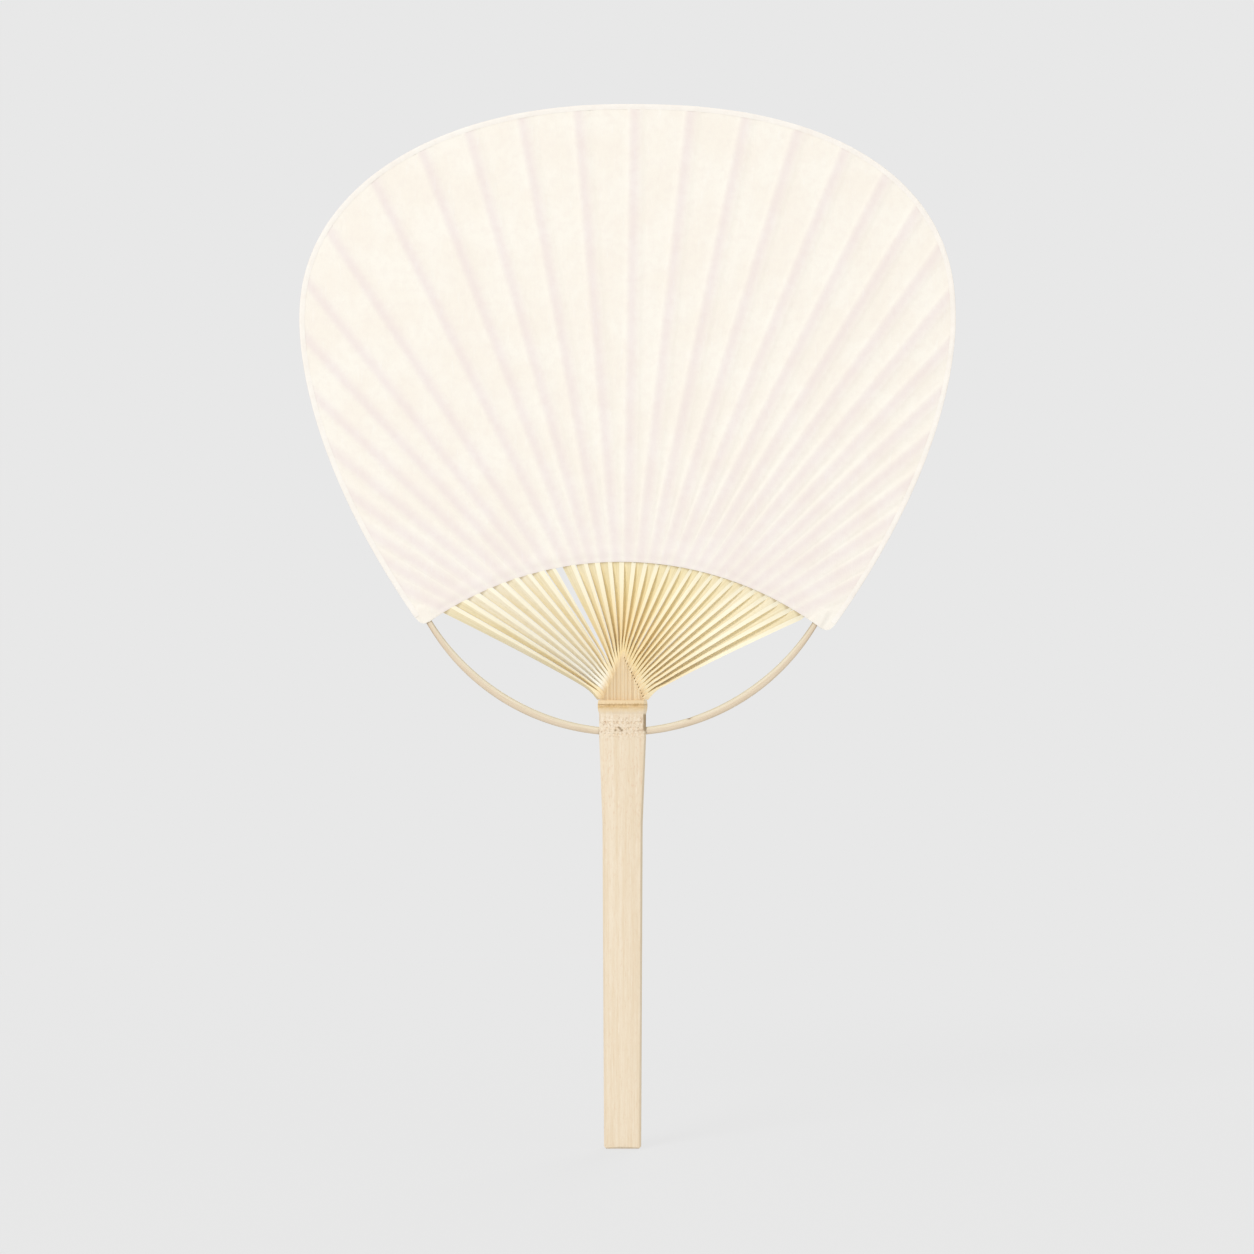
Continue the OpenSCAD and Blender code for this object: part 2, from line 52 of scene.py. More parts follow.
HEAD_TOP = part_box("handle")[1].z
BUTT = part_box("handle")[0].z
leaf_low, leaf_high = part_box("rim_tape")

# Leaf, in millimetres: the FULL values say how square the shoulders are, the DROP and POWER values how
# far and how soon the sides draw in, and the EDGE values give the arc of the lower edge
HALF_W = (leaf_high.x - leaf_low.x) / 2 / MM
LEAF_X = (leaf_high.x + leaf_low.x) / 2 / MM
LEAF_TOP = (leaf_high.z - HEAD_TOP) / MM
WIDEST_Z = 138.4
LEFT_FULL = 2.16
RIGHT_FULL = 2.35
SIDE_DROP = 42.6
SIDE_POWER = 1.78
CORNER_Z = 29.2
CORNER_CUT = 3.4
EDGE_R = 122
EDGE_X = -0.7
EDGE_Z = 50.3
RIM_STEPS = 90
CORNER_STEPS = 8

# Handle, with the flare's ends counted down from the head's top
HEAD_W = 17
GRIP_W = 14.6
FLARE_LOW = 45
FLARE_HIGH = 14
SLAT_T = 5.4
NECK_H = 16
SLOT_WALL = 0.7
SLOT_DEEP = 6
SPLIT_GAP = 0.05

# Ribs
RIB_COUNT = sum(name.startswith("rib_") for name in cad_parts)
ROOT_D = 2.8
RIB_FACE_W = 2.75
RIB_T = 0.6
BEVEL_W = 1.2
SLIT_MIN = 0.35
BEND_CROWDING = 1.4
START_PULL = 2.5
END_PULL = 0.35

# How the ribs spread: how far the outermost ones stay off the bow, where all converge, waves in their
# spacing, and one looser gap
BOW_GAP = 7.75
FAN_X = 1.3
FAN_RISE = 6
SPREAD_WAVES = (3.7, 0.1, -0.9, -0.1, -0.3)
LOOSE_AT = 8.5
LOOSE_REACH = 1.45
LOOSE_W = 1.9

# Paper, tape and thread
PAPER_T = 0.18
GLUE_GAP = 0.03
TAPE_W = 2
TAPE_T = 0.15
PAPER_IN = TAPE_T + GLUE_GAP
THREAD_D = 0.2
THREAD_IN = 4
THREAD_APART = 0.34
TIE_T = 0.2

# Bow
BOW_Z = -11.6
BOW_IN = 5.2
BOW_W = 2.6
BOW_ARM_W = 3.1
BOW_TIP_W = 2.2
BOW_T = 2.3
BOW_TIP_T = 0.8
TIP_PAST = 1.5
THIN_LEN = 12

# Outer faces of the paper, counted from the leaf's middle plane
FLAT_Y = GLUE_GAP + PAPER_T
RIB_PAD_Y = RIB_T / 2 + FLAT_Y
THREAD_PAD_Y = RIB_PAD_Y + THREAD_D + GLUE_GAP
TIP_PAD_Y = BOW_TIP_T / 2 + TIE_T + GLUE_GAP + FLAT_Y

# How often root_of() halves its range
HALVINGS = 40


def lerp(a, b, t):
    return a + (b - a) * t


def smooth(t):
    t = min(max(t, 0), 1)
    return t * t * (3 - 2 * t)


def ramp(value, low, high):
    """0 at low and before it, softly up to 1 at high and past it, whichever of the two is larger."""
    return smooth((value - low) / (high - low))


def bend(a, b, c, t):
    return lerp(lerp(a, b, t), lerp(b, c, t), t)


def spaced(low, high, steps):
    return [lerp(low, high, k / steps) for k in range(steps + 1)]


def root_of(gap, low, high):
    """The place between low and high where gap changes its sign."""
    for _ in range(HALVINGS):
        middle = (low + high) / 2
        if gap(middle) * gap(low) > 0:
            low = middle
        else:
            high = middle
    return (low + high) / 2


def square_part(step, lean):
    """How far a step leads to the right of a direction that leans from the upright."""
    return step.x * math.cos(lean) - step.y * math.sin(lean)


# Outline of the leaf
EDGE_C = Vector((EDGE_X, EDGE_Z - EDGE_R))
THREAD_R = EDGE_R + THREAD_IN


def side_point(side, z):
    drop = SIDE_DROP * ((WIDEST_Z - z) / (WIDEST_Z - CORNER_Z)) ** SIDE_POWER
    return Vector((LEAF_X + side * (HALF_W - drop), z))


def side_meets(side, r):
    """Height at which a side meets a circle round the lower edge's centre."""
    return root_of(lambda z: (side_point(side, z) - EDGE_C).length - r, EDGE_C.y + EDGE_R / 2, EDGE_Z)


def arc_angle(point):
    return math.atan2(point.x - EDGE_C.x, point.y - EDGE_C.y)


def arc_point(angle, r=EDGE_R):
    return EDGE_C + r * Vector((math.sin(angle), math.cos(angle)))


def corner_angle(side):
    return arc_angle(side_point(side, side_meets(side, EDGE_R))) - side * CORNER_CUT / EDGE_R


def shoulder(side, turn):
    """A point of the upper rim, turn being 0 at the side and 1 at the top."""
    angle = turn * math.pi / 2
    power = 2 / (LEFT_FULL if side < 0 else RIGHT_FULL)
    return Vector((LEAF_X + side * HALF_W * abs(math.cos(angle)) ** power,
                   WIDEST_Z + (LEAF_TOP - WIDEST_Z) * math.sin(angle) ** power))


def half_rim(side):
    """One side of the taped rim, from its lower corner up to the top."""
    low = side_meets(side, EDGE_R) + CORNER_CUT
    return ([side_point(side, z) for z in spaced(low, WIDEST_Z, RIM_STEPS)]
            + [shoulder(side, turn) for turn in spaced(0, 1, RIM_STEPS)[1:]])


def taped_rim():
    return half_rim(-1) + half_rim(1)[-2::-1]


def corner(side):
    """The cut corner of a sheet, from the lower edge up to the taped rim."""
    sharp_z = side_meets(side, EDGE_R)
    start = arc_point(corner_angle(side))
    return [bend(start, side_point(side, sharp_z), side_point(side, sharp_z + CORNER_CUT), k / CORNER_STEPS)
            for k in range(CORNER_STEPS)]


def inwards(path, inset):
    """A path moved towards the leaf's inside, along its own normals."""
    moved = []
    for k, point in enumerate(path):
        along = (path[min(k + 1, len(path) - 1)] - path[max(k - 1, 0)]).normalized()
        moved.append(point + inset * Vector((along.y, -along.x)))
    return moved


def sheet_rim():
    return inwards(corner(-1) + taped_rim() + corner(1)[::-1], PAPER_IN)


def lashed_at(side):
    """Where the thread crosses a tip of the bow."""
    angle = arc_angle(side_point(side, side_meets(side, THREAD_R)))
    return arc_point(angle - side * BOW_IN / THREAD_R, THREAD_R)


# The bow: an arc through the handle whose tips lie between the papers
TIP_X = (lashed_at(1).x - lashed_at(-1).x) / 2
TIP_RISE = (lashed_at(1).y + lashed_at(-1).y) / 2 - BOW_Z
BOW_R = (TIP_X ** 2 + TIP_RISE ** 2) / (2 * TIP_RISE)
BOW_LEAST_TURN = math.radians(20)
BOW_MOST_TURN = math.radians(85)


def bow_point(turn):
    return Vector((BOW_R * math.sin(turn), BOW_Z + BOW_R - BOW_R * math.cos(turn)))


def bow_meets(side, r):
    """How far the bow turns up to where it meets a circle round the lower edge's centre."""
    return root_of(lambda turn: (bow_point(side * turn) - EDGE_C).length - r, BOW_LEAST_TURN, BOW_MOST_TURN)


def bow_end(side):
    return bow_meets(side, THREAD_R) + TIP_PAST / BOW_R


# Where the ribs run
SLOT_W = HEAD_W - 2 * SLOT_WALL
ROOT_PITCH = (SLOT_W - SPLIT_GAP) / RIB_COUNT
ROOT_T = ROOT_PITCH - SPLIT_GAP


def outer_rib_x(side):
    angle = arc_angle(bow_point(side * bow_meets(side, EDGE_R)))
    return arc_point(angle - side * BOW_GAP / EDGE_R).x


def rib_entry(index):
    """Where the middle of a rib meets the lower edge of the paper."""
    u = index / (RIB_COUNT - 1)
    waves = sum(size * math.sin(math.pi * (k + 1) * u) for k, size in enumerate(SPREAD_WAVES))
    away = (index - LOOSE_AT) / LOOSE_REACH
    loosened = LOOSE_W * away * math.exp(-away * away)
    x = lerp(outer_rib_x(-1), outer_rib_x(1), u) + waves + loosened
    return arc_point(math.asin((x - EDGE_C.x) / EDGE_R))


def rib_lean(index):
    """A rib's direction in the paper: the middle ones converge higher than the outermost ones."""
    entry = rib_entry(index)
    out = 2 * index / (RIB_COUNT - 1) - 1
    return math.atan2(entry.x - FAN_X, entry.y - FAN_RISE * (1 - out * out))


class Rib:
    """Where one rib runs: up from the split head, bent over to its direction, straight into the paper."""

    def __init__(self, index):
        self.index = index
        self.name = f"rib_{index + 1:02d}"
        self.entry = rib_entry(index)
        self.lean = rib_lean(index)
        self.way = Vector((math.sin(self.lean), math.cos(self.lean)))
        self.right_way = Vector((self.way.y, -self.way.x))
        first = min(index, RIB_COUNT - 2)
        self.room = square_part(rib_entry(first + 1) - rib_entry(first), rib_lean(first))
        self.bevel = max(0, min(BEVEL_W, self.room - RIB_FACE_W - SLIT_MIN))
        self.root_x = (index - (RIB_COUNT - 1) / 2) * ROOT_PITCH
        self.leave_z = NECK_H * (1 - abs(self.root_x) / (SLOT_W / 2))

    def right_of(self, x, z):
        """How far places of the leaf lie right of the rib's middle line, for numbers or arrays."""
        return (x - self.entry.x) * self.right_way.x + (z - self.entry.y) * self.right_way.y

    def line_meets(self, right, r):
        """Where the line at some distance right of the rib's middle meets a circle round EDGE_C."""
        start = self.entry - EDGE_C + right * self.right_way
        q = start.dot(self.way)
        return EDGE_C + start + self.way * (math.sqrt(q * q + r * r - start.length_squared) - q)

    def bent(self, t):
        """Place, lean and share of the way to the paper at t along the bend."""
        a = Vector((self.root_x, self.leave_z))
        d = self.entry
        reach = (d - a).length
        b = a + Vector((0, START_PULL))
        c = d - self.way * reach * END_PULL
        place = lerp(bend(a, b, c, t), bend(b, c, d, t), t)
        slope = bend(b - a, c - b, d - c, t)
        return place, math.atan2(slope.x, slope.y), (place - a).length / reach


ribs = [Rib(index) for index in range(RIB_COUNT)]


# Mesh helpers
SHARP_ANGLE = math.radians(38)
WELD = 0.002 * MM
PARALLEL = 1e-9


def new_piece(name, points, faces, material, replaced, values):
    """Adds a closed mesh from points in millimetres, with the values that its material reads at each."""
    mesh = bpy.data.meshes.new(name)
    mesh.from_pydata([(x * MM, y * MM, HEAD_TOP + z * MM) for x, y, z in points], [], faces)
    for key, data in values.items():
        vector = np.ndim(data) == 2
        kind = "FLOAT_VECTOR" if vector else "FLOAT"
        attribute = mesh.attributes.new(key, kind, "POINT")
        attribute.data.foreach_set("vector" if vector else "value", np.ravel(data).astype(float))
    welded = bmesh.new()
    welded.from_mesh(mesh)
    bmesh.ops.remove_doubles(welded, verts=welded.verts, dist=WELD)
    bmesh.ops.recalc_face_normals(welded, faces=welded.faces)
    welded.to_mesh(mesh)
    welded.free()
    mesh.shade_smooth()
    mesh.set_sharp_from_angle(angle=SHARP_ANGLE)
    mesh.materials.append(material)
    piece = bpy.data.objects.new(name, mesh)
    bpy.context.scene.collection.objects.link(piece)
    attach(piece, "root")
    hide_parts(*replaced)


def tube_faces(rings, sides):
    """Quads between rings of points, with a cap on each end."""
    faces = [(k * sides + j, k * sides + (j + 1) % sides, (k + 1) * sides + (j + 1) % sides,
              (k + 1) * sides + j) for k in range(rings - 1) for j in range(sides)]
    last = (rings - 1) * sides
    return faces + [tuple(range(sides))[::-1], tuple(range(last, last + sides))]


def grid_faces(columns, rows, first=0):
    return [(first + c * rows + r, first + (c + 1) * rows + r, first + (c + 1) * rows + r + 1,
             first + c * rows + r + 1) for c in range(columns - 1) for r in range(rows - 1)]


def ray_meets(start, way, path):
    """How far from start a ray meets a path, and how far along the path that is."""
    run = 0
    for a, b in zip(path, path[1:]):
        step = b - a
        cross = way.x * step.y - way.y * step.x
        offset = a - start
        if abs(cross) > PARALLEL:
            far = (offset.x * step.y - offset.y * step.x) / cross
            share = (offset.x * way.y - offset.y * way.x) / cross
            if far > 0 and 0 <= share <= 1:
                return far, run + share * step.length
        run += step.length
    return None


def path_point(path, run):
    """The point at some length along a path."""
    for a, b in zip(path, path[1:]):
        step = (b - a).length
        if run <= step:
            return lerp(a, b, run / step)
        run -= step
    return path[-1].copy()


def wander(seed, along, length):
    """A slow wobble between -1 and 1 along a strip."""
    return noise.noise(Vector((along / length, seed * 7.3, 0.5)))


def chance(index, step, y, z):
    """A value between -1 and 1 that belongs to one rib, from its own place in the noise."""
    return noise.noise(Vector((index * step, y, z)))


# Materials
def colour(red, green, blue):
    """A colour as it shows on screen, 0 to 255, as Blender's linear one."""
    def linear(value):
        value /= 255
        return value / 12.92 if value <= 0.04045 else ((value + 0.055) / 1.055) ** 2.4
    return (linear(red), linear(green), linear(blue), 1)


class Nodes:
    """A node tree whose nodes are added and linked by short calls."""

    def __init__(self, tree):
        self.tree = tree

    def put(self, socket, value):
        if isinstance(value, bpy.types.NodeSocket):
            self.tree.links.new(value, socket)
        else:
            socket.default_value = value

    def node(self, kind, inputs, **settings):
        node = self.tree.nodes.new("ShaderNode" + kind)
        for key, value in settings.items():
            setattr(node, key, value)
        for key, value in inputs.items():
            self.put(node.inputs[key], value)
        return node

    def maths(self, operation, a, b):
        return self.node("Math", {0: a, 1: b}, operation=operation).outputs[0]

    def times(self, a, b):
        return self.maths("MULTIPLY", a, b)

    def ramp(self, value, low, high, start=0, end=1, smoothly=True):
        kind = "SMOOTHSTEP" if smoothly else "LINEAR"
        return self.node("MapRange", {"Value": value, "From Min": low, "From Max": high,
                                      "To Min": start, "To Max": end}, interpolation_type=kind).outputs[0]

    def attribute(self, key, kind="Fac"):
        return self.node("Attribute", {}, attribute_name=key).outputs[kind]

    def place(self):
        return self.node("TexCoord", {}).outputs["Object"]

    def stretched(self, vector, scale, turn=0):
        return self.node("Mapping", {"Vector": vector, "Rotation": (0, turn, 0), "Scale": scale}).outputs[0]

    def noise(self, vector, detail, rough=0.5):
        return self.node("TexNoise", {"Vector": vector, "Scale": 1, "Detail": detail,
                                      "Roughness": rough}).outputs["Fac"]

    def mix(self, factor, a, b, blend="MIX"):
        return self.node("Mix", {0: factor, 6: a, 7: b}, data_type="RGBA", blend_type=blend).outputs[2]

    def bump(self, height, distance, strength=1, under=None):
        inputs = {"Height": height, "Distance": distance, "Strength": strength}
        if under:
            inputs["Normal"] = under
        return self.node("Bump", inputs).outputs[0]


class Look(Nodes):
    """A new material with one shader, which paint() gives its colour."""

    def __init__(self, name, roughness, specular):
        self.material = bpy.data.materials.new(name)
        self.material.use_nodes = True
        super().__init__(self.material.node_tree)
        self.shader = self.tree.nodes["Principled BSDF"]
        self.shader.inputs["Roughness"].default_value = roughness
        self.shader.inputs["Specular IOR Level"].default_value = specular

    def paint(self, base, normal=None, roughness=None):
        self.put(self.shader.inputs["Base Color"], base)
        if normal:
            self.put(self.shader.inputs["Normal"], normal)
        if roughness:
            self.put(self.shader.inputs["Roughness"], roughness)
        return self.material


def rib_wood():
    """Split bamboo: golden skin, cream flesh on the cut sides, painted shade lines in the slits and below
    the paper's edge, and towards the neck painted shade with bounce light that warms it and painted light
    that pales the paler ribs.
    """
    look = Look("split_bamboo", roughness=0.55, specular=0.3)
    grain = look.attribute("grain", "Vector")
    tone = look.attribute("tone")
    shade_warmth = look.attribute("shade_warmth")
    fibre = look.noise(look.stretched(grain, (5, 0.12, 1)), detail=4, rough=0.6)
    streak = look.noise(look.stretched(grain, (1.6, 0.03, 1)), detail=2)
    mottle = look.noise(look.stretched(grain, (1.6, 0.7, 1)), detail=3, rough=0.6)
    streaked = look.ramp(streak, 0.35, 0.7)
    pale = look.mix(streaked, colour(247, 238, 216), colour(241, 229, 202))
    gold = look.mix(streaked, colour(241, 226, 182), colour(232, 214, 166))
    skin = look.mix(tone, pale, gold)
    # Painted shade and bounce light between the close ribs make the skin a deeper gold towards the neck
    skin = look.mix(look.times(shade_warmth, 0.75), skin, colour(240, 214, 154))
    skin = look.mix(look.ramp(mottle, 0.5, 0.75, 0, 0.5), skin, colour(224, 212, 168))
    skin = look.mix(look.ramp(fibre, 0.5, 0.75, 0, 0.25), skin, colour(216, 192, 140))
    fibrous = look.ramp(fibre, 0.35, 0.7)
    cream = look.mix(fibrous, colour(255, 249, 228), colour(251, 242, 216))
    straw = look.mix(fibrous, colour(254, 246, 218), colour(250, 239, 206))
    # The flesh too is warmed towards the neck by painted shade and bounce light
    flesh = look.mix(shade_warmth, look.mix(tone, cream, straw), colour(250, 226, 172))
    wood = look.mix(look.attribute("skin"), flesh, skin)
    # Painted light paling the paler ribs near the neck
    wood = look.mix(look.attribute("lit_paling"), wood, colour(252, 247, 232))
    neck = look.mix(look.attribute("strip"), colour(253, 232, 192), colour(226, 196, 148))
    neck = look.mix(look.ramp(fibre, 0.45, 0.75, 0, 0.4), neck, colour(216, 182, 130))
    wood = look.mix(look.attribute("neck"), wood, neck)
    # Painted shade in the slits at the ribs' left edges, and the painted shadow of the paper's edge on the
    # skin
    wood = look.mix(look.attribute("shade"), wood, colour(142, 112, 54))
    return look.paint(wood, look.bump(fibre, 0.03 * MM), look.ramp(streak, 0.3, 0.8, 0.48, 0.65))


def bow_wood():
    """The bow's cane: pale inside the arc, painted shade on its lower side outside the arc, and a darker
    line along its upper edge.
    """
    look = Look("bow_bamboo", roughness=0.7, specular=0.15)
    grain = look.attribute("grain", "Vector")
    fibre = look.noise(look.stretched(grain, (3.5, 0.1, 1)), detail=4, rough=0.6)
    streak = look.noise(look.stretched(grain, (0.9, 0.02, 1)), detail=2)
    fibrous = look.ramp(fibre, 0.4, 0.75)
    pale = look.mix(fibrous, colour(241, 231, 208), colour(232, 219, 190))
    shaded_tan = look.mix(fibrous, colour(230, 213, 188), colour(218, 198, 170))
    # Painted shade on the lower side, outside the arc
    wood = look.mix(look.attribute("outer"), pale, shaded_tan)
    wood = look.mix(look.attribute("top"), wood, colour(206, 192, 160))
    wood = look.mix(look.ramp(streak, 0.55, 0.8, 0, 0.3), wood, colour(206, 186, 148))
    wood = look.mix(look.attribute("nick"), wood, colour(150, 118, 84))
    return look.paint(wood, look.bump(fibre, 0.03 * MM))


# Marks on the handle's front, and painted shade at its right edge and round the bow's hole. A pair goes from
# where a mark or shade is absent to where it is full, in millimetres below the head's top. HOLE_SIDE is
# counted across, HOLE_FRONT in depth and EDGE_SHADE inwards from the slat's right edge
FLECKED = (62, 30)
HEAD_TINT = (5.2, 2.6)
RIDGE_ABOVE = (0.9, 1.5)
RIDGE_BELOW = (3.6, 2.4)
PITS_ABOVE = (4.8, 7.2)
PITS_BELOW = (15.5, 11)
HOLE_ABOVE = (4.6, 5.4)
HOLE_BELOW = (11.6, 10.8)
HOLE_SIDE = (7.2, 7.7)
HOLE_FRONT = (-0.8, -1.6)
EDGE_SHADE = (1.1, 0.5)

# Root scars below the ridge, as across, drop below the head's top and size
SCARS = ((-1.4, 9.9, 0.6), (-0.85, 10.4, 0.6), (-0.3, 10.9, 0.7), (-2.6, 10.9, 0.65))
SCAR_CORE = 0.3


def slat_grain(look, place, drop, fibre, flecks):
    streak = look.noise(look.stretched(place, (700, 700, 14)), detail=4, rough=0.6)
    wood = look.mix(look.ramp(streak, 0.3, 0.7), colour(242, 227, 203), colour(235, 216, 187))
    wood = look.mix(look.ramp(fibre, 0.5, 0.75, 0, 0.5), wood, colour(224, 200, 164))
    wood = look.mix(look.ramp(fibre, 0.45, 0.3, 0, 0.4), wood, colour(250, 240, 222))
    flecked = look.times(look.ramp(flecks, 0.52, 0.72), look.ramp(drop, *FLECKED, 0.3, 0.7))
    return look.mix(flecked, wood, colour(230, 202, 172))


def node_ridge(look, wood, place, drop, flecks):
    """The golden ridge of the bamboo's node, with wavy borders, and the warmer head round it."""
    wavy = look.maths("ADD", drop, look.ramp(flecks, 0.3, 0.7, -0.6, 0.6, smoothly=False))
    wood = look.mix(look.ramp(wavy, *HEAD_TINT, 0, 0.85), wood, colour(236, 209, 164))
    ridge = look.times(look.ramp(wavy, *RIDGE_ABOVE), look.ramp(wavy, *RIDGE_BELOW))
    gold = look.mix(look.ramp(flecks, 0.35, 0.65), colour(228, 200, 150), colour(206, 174, 124))
    patchy = look.noise(look.stretched(place, (260, 260, 500)), detail=2)
    return look.mix(look.times(ridge, look.ramp(patchy, 0.35, 0.6, 0.35, 0.95)), wood, gold)


def root_pits(look, wood, place, drop, dots):
    """The patch below the ridge: dark and pale speckles, and a few scars."""
    patch = look.times(look.ramp(drop, *PITS_BELOW), look.ramp(drop, *PITS_ABOVE))
    speckle = look.times(look.ramp(dots, 0.5, 0.68), patch)
    wood = look.mix(look.times(speckle, 0.6), wood, colour(188, 158, 130))
    glint = look.times(look.ramp(dots, 0.46, 0.36), patch)
    wood = look.mix(look.times(glint, 0.5), wood, colour(253, 240, 224))
    for x, down, size in SCARS:
        spot = (x * MM, -SLAT_T / 2 * MM, HEAD_TOP - down * MM)
        away = look.node("VectorMath", {0: place, 1: spot}, operation="DISTANCE").outputs["Value"]
        scar = look.ramp(away, size * MM, SCAR_CORE * size * MM, 0, 0.7)
        wood = look.mix(scar, wood, colour(138, 112, 76))
    return wood


def slat_edge(look, wood, place, drop):
    """Painted shade along the slat's right edge, and darker painted shade round the bow's hole on it."""
    axes = look.node("SeparateXYZ", {"Vector": place}).outputs
    across = look.maths("DIVIDE", axes["X"], MM)
    depth = look.maths("DIVIDE", axes["Y"], MM)
    half_w = look.ramp(drop, FLARE_LOW, FLARE_HIGH, GRIP_W / 2, HEAD_W / 2, smoothly=False)
    # Painted shade along the slat's right edge
    edge = look.ramp(look.maths("SUBTRACT", half_w, across), *EDGE_SHADE)
    wood = look.mix(look.times(edge, 0.55), wood, colour(206, 190, 160))
    # Painted shade round the bow's hole, at the front of the right edge
    cut = look.times(look.ramp(drop, *HOLE_BELOW), look.ramp(drop, *HOLE_ABOVE))
    cut = look.times(cut, look.ramp(across, *HOLE_SIDE))
    cut = look.times(cut, look.ramp(depth, *HOLE_FRONT))
    return look.mix(look.times(cut, 0.8), wood, colour(150, 126, 92))


def slat_wood():
    """The handle: fine upright grain, a golden node ridge and a speckled patch of root pits below it."""
    look = Look("slat_bamboo", roughness=0.55, specular=0.3)
    place = look.place()
    height = look.node("SeparateXYZ", {"Vector": place}).outputs["Z"]
    drop = look.maths("DIVIDE", look.maths("SUBTRACT", HEAD_TOP, height), MM)
    fibre = look.noise(look.stretched(place, (2000, 2000, 150)), detail=4, rough=0.7)
    flecks = look.noise(look.stretched(place, (1500, 1500, 520)), detail=3, rough=0.6)
    dots = look.noise(look.stretched(place, (1150, 1150, 1050)), detail=3, rough=0.6)
    wood = slat_grain(look, place, drop, fibre, flecks)
    wood = node_ridge(look, wood, place, drop, flecks)
    wood = root_pits(look, wood, place, drop, dots)
    wood = slat_edge(look, wood, place, drop)
    bumped = look.bump(fibre, 0.04 * MM, under=look.bump(dots, 0.06 * MM, strength=0.5))
    return look.paint(wood, bumped, look.ramp(fibre, 0.3, 0.8, 0.5, 0.65))


# Light and dark clouds of the sheets and of the slightly whiter tape
LEAF_TONES = colour(252, 247, 236), colour(250, 243, 231)
TAPE_TONES = colour(252, 247, 239), colour(250, 244, 235)


def leaf_paper(name, tones):
    """Handmade paper: long soft fibres, faint clouds, and painted shade in bands where the ribs show
    through.
    """
    look = Look(name, roughness=0.85, specular=0.2)
    place = look.place()
    cloud = look.noise(look.stretched(place, (60, 60, 60)), detail=3)
    mottle = look.noise(look.stretched(place, (330, 330, 330)), detail=4, rough=0.6)
    fibre = look.noise(look.stretched(place, (900, 900, 170), turn=0.6), detail=4, rough=0.7)
    crossing = look.noise(look.stretched(place, (1100, 900, 210), turn=-0.9), detail=3, rough=0.6)
    paper = look.mix(look.ramp(cloud, 0.35, 0.65), *tones)
    paper = look.mix(look.ramp(mottle, 0.4, 0.7, 0, 0.4), paper, colour(246, 237, 227))
    paper = look.mix(look.ramp(fibre, 0.56, 0.74, 0, 0.5), paper, colour(253, 249, 241))
    # Painted shade where the ribs show through the paper
    banded = look.mix(1, paper, colour(249, 245, 250), "MULTIPLY")
    paper = look.mix(look.attribute("band"), paper, banded)
    cockled = look.bump(mottle, 0.12 * MM, strength=0.5)
    fibrous = look.maths("ADD", fibre, crossing)
    return look.paint(paper, look.bump(fibrous, 0.06 * MM, strength=0.7, under=cockled))


def cotton():
    look = Look("twine_cotton", roughness=0.9, specular=0.2)
    twist = look.noise(look.stretched(look.place(), (9000, 9000, 9000)), detail=2)
    yarn = look.mix(twist, colour(214, 190, 150), colour(190, 164, 124))
    return look.paint(yarn, look.bump(twist, 0.03 * MM))


# Shape of the ribs, with rings closer together at the paper's edge. Here and below a pair named RUN, RISE
# or FADE goes from where something is absent to where it is full, in millimetres along the rib from where
# it leaves the head
RIB_SIDES = 10
RIB_BENDS = spaced(0, 1, 30)[:-1] + [0.978, 0.989, 1]
INSIDE_STEPS = 11
RIM_GAP = 0.3
RIB_SOFT = 0.08
RIB_DIP = 0.03
UNDERCUT = 0.3
TUCK = 0.05
WIDEST_BEVEL = 1.75
LOOSE_BEVEL = 0.7
LOOSE_SPAN = 0.6
BEVEL_RUN = 2.5
LEAST_TURN = 0.05
TWIST_RUN = (0, 0.8)
TWIST_LOOSE = 0.7
TWIST_VARIES = 0.4
TWIST_CHANCE = (1.7, 4.4, 0.1)

# A rib's golden skin, as a share of its width, and the painted shade line along its left edge, where the rib
# beside it shades it
SKIN_SHARE = 0.675
SKIN_VARIES = 0.13
SKIN_CHANCE = (1.3, 2.2, 0.6)
LINE_W = 0.34
LINE_SHARE = 0.9

# How thick a rib is beside the neck, as a share of its room, and how much wider the outermost roots are,
# where OUTER_RISE counts up from the head's top
NECK_FILL = 0.88
NECK_FILL_FADE = (10, 1)
JOIN_FILL = 0.26
JOIN_RISE = (-0.2, 0.4)
JOIN_FADE = (4, 1.5)
OUTER_ROOT = 0.75
OUTER_RISE = (0, 0.25)
OUTER_FADE = (6.5, 0.5)


def looseness(rib):
    """1 for the rib to the left of the loose gap, 0 for ribs away from it."""
    return math.exp(-((rib.index - LOOSE_AT + 0.5) / LOOSE_SPAN) ** 2)


def rib_twist(rib, room, along):
    """Sine of a rib's twist: it shows as much of its skin as the ribs have spread."""
    late = TWIST_LOOSE * looseness(rib) + TWIST_VARIES * max(0, chance(rib.index, *TWIST_CHANCE))
    return min(1, room / rib.room) ** (1 + late) * ramp(along, *TWIST_RUN)


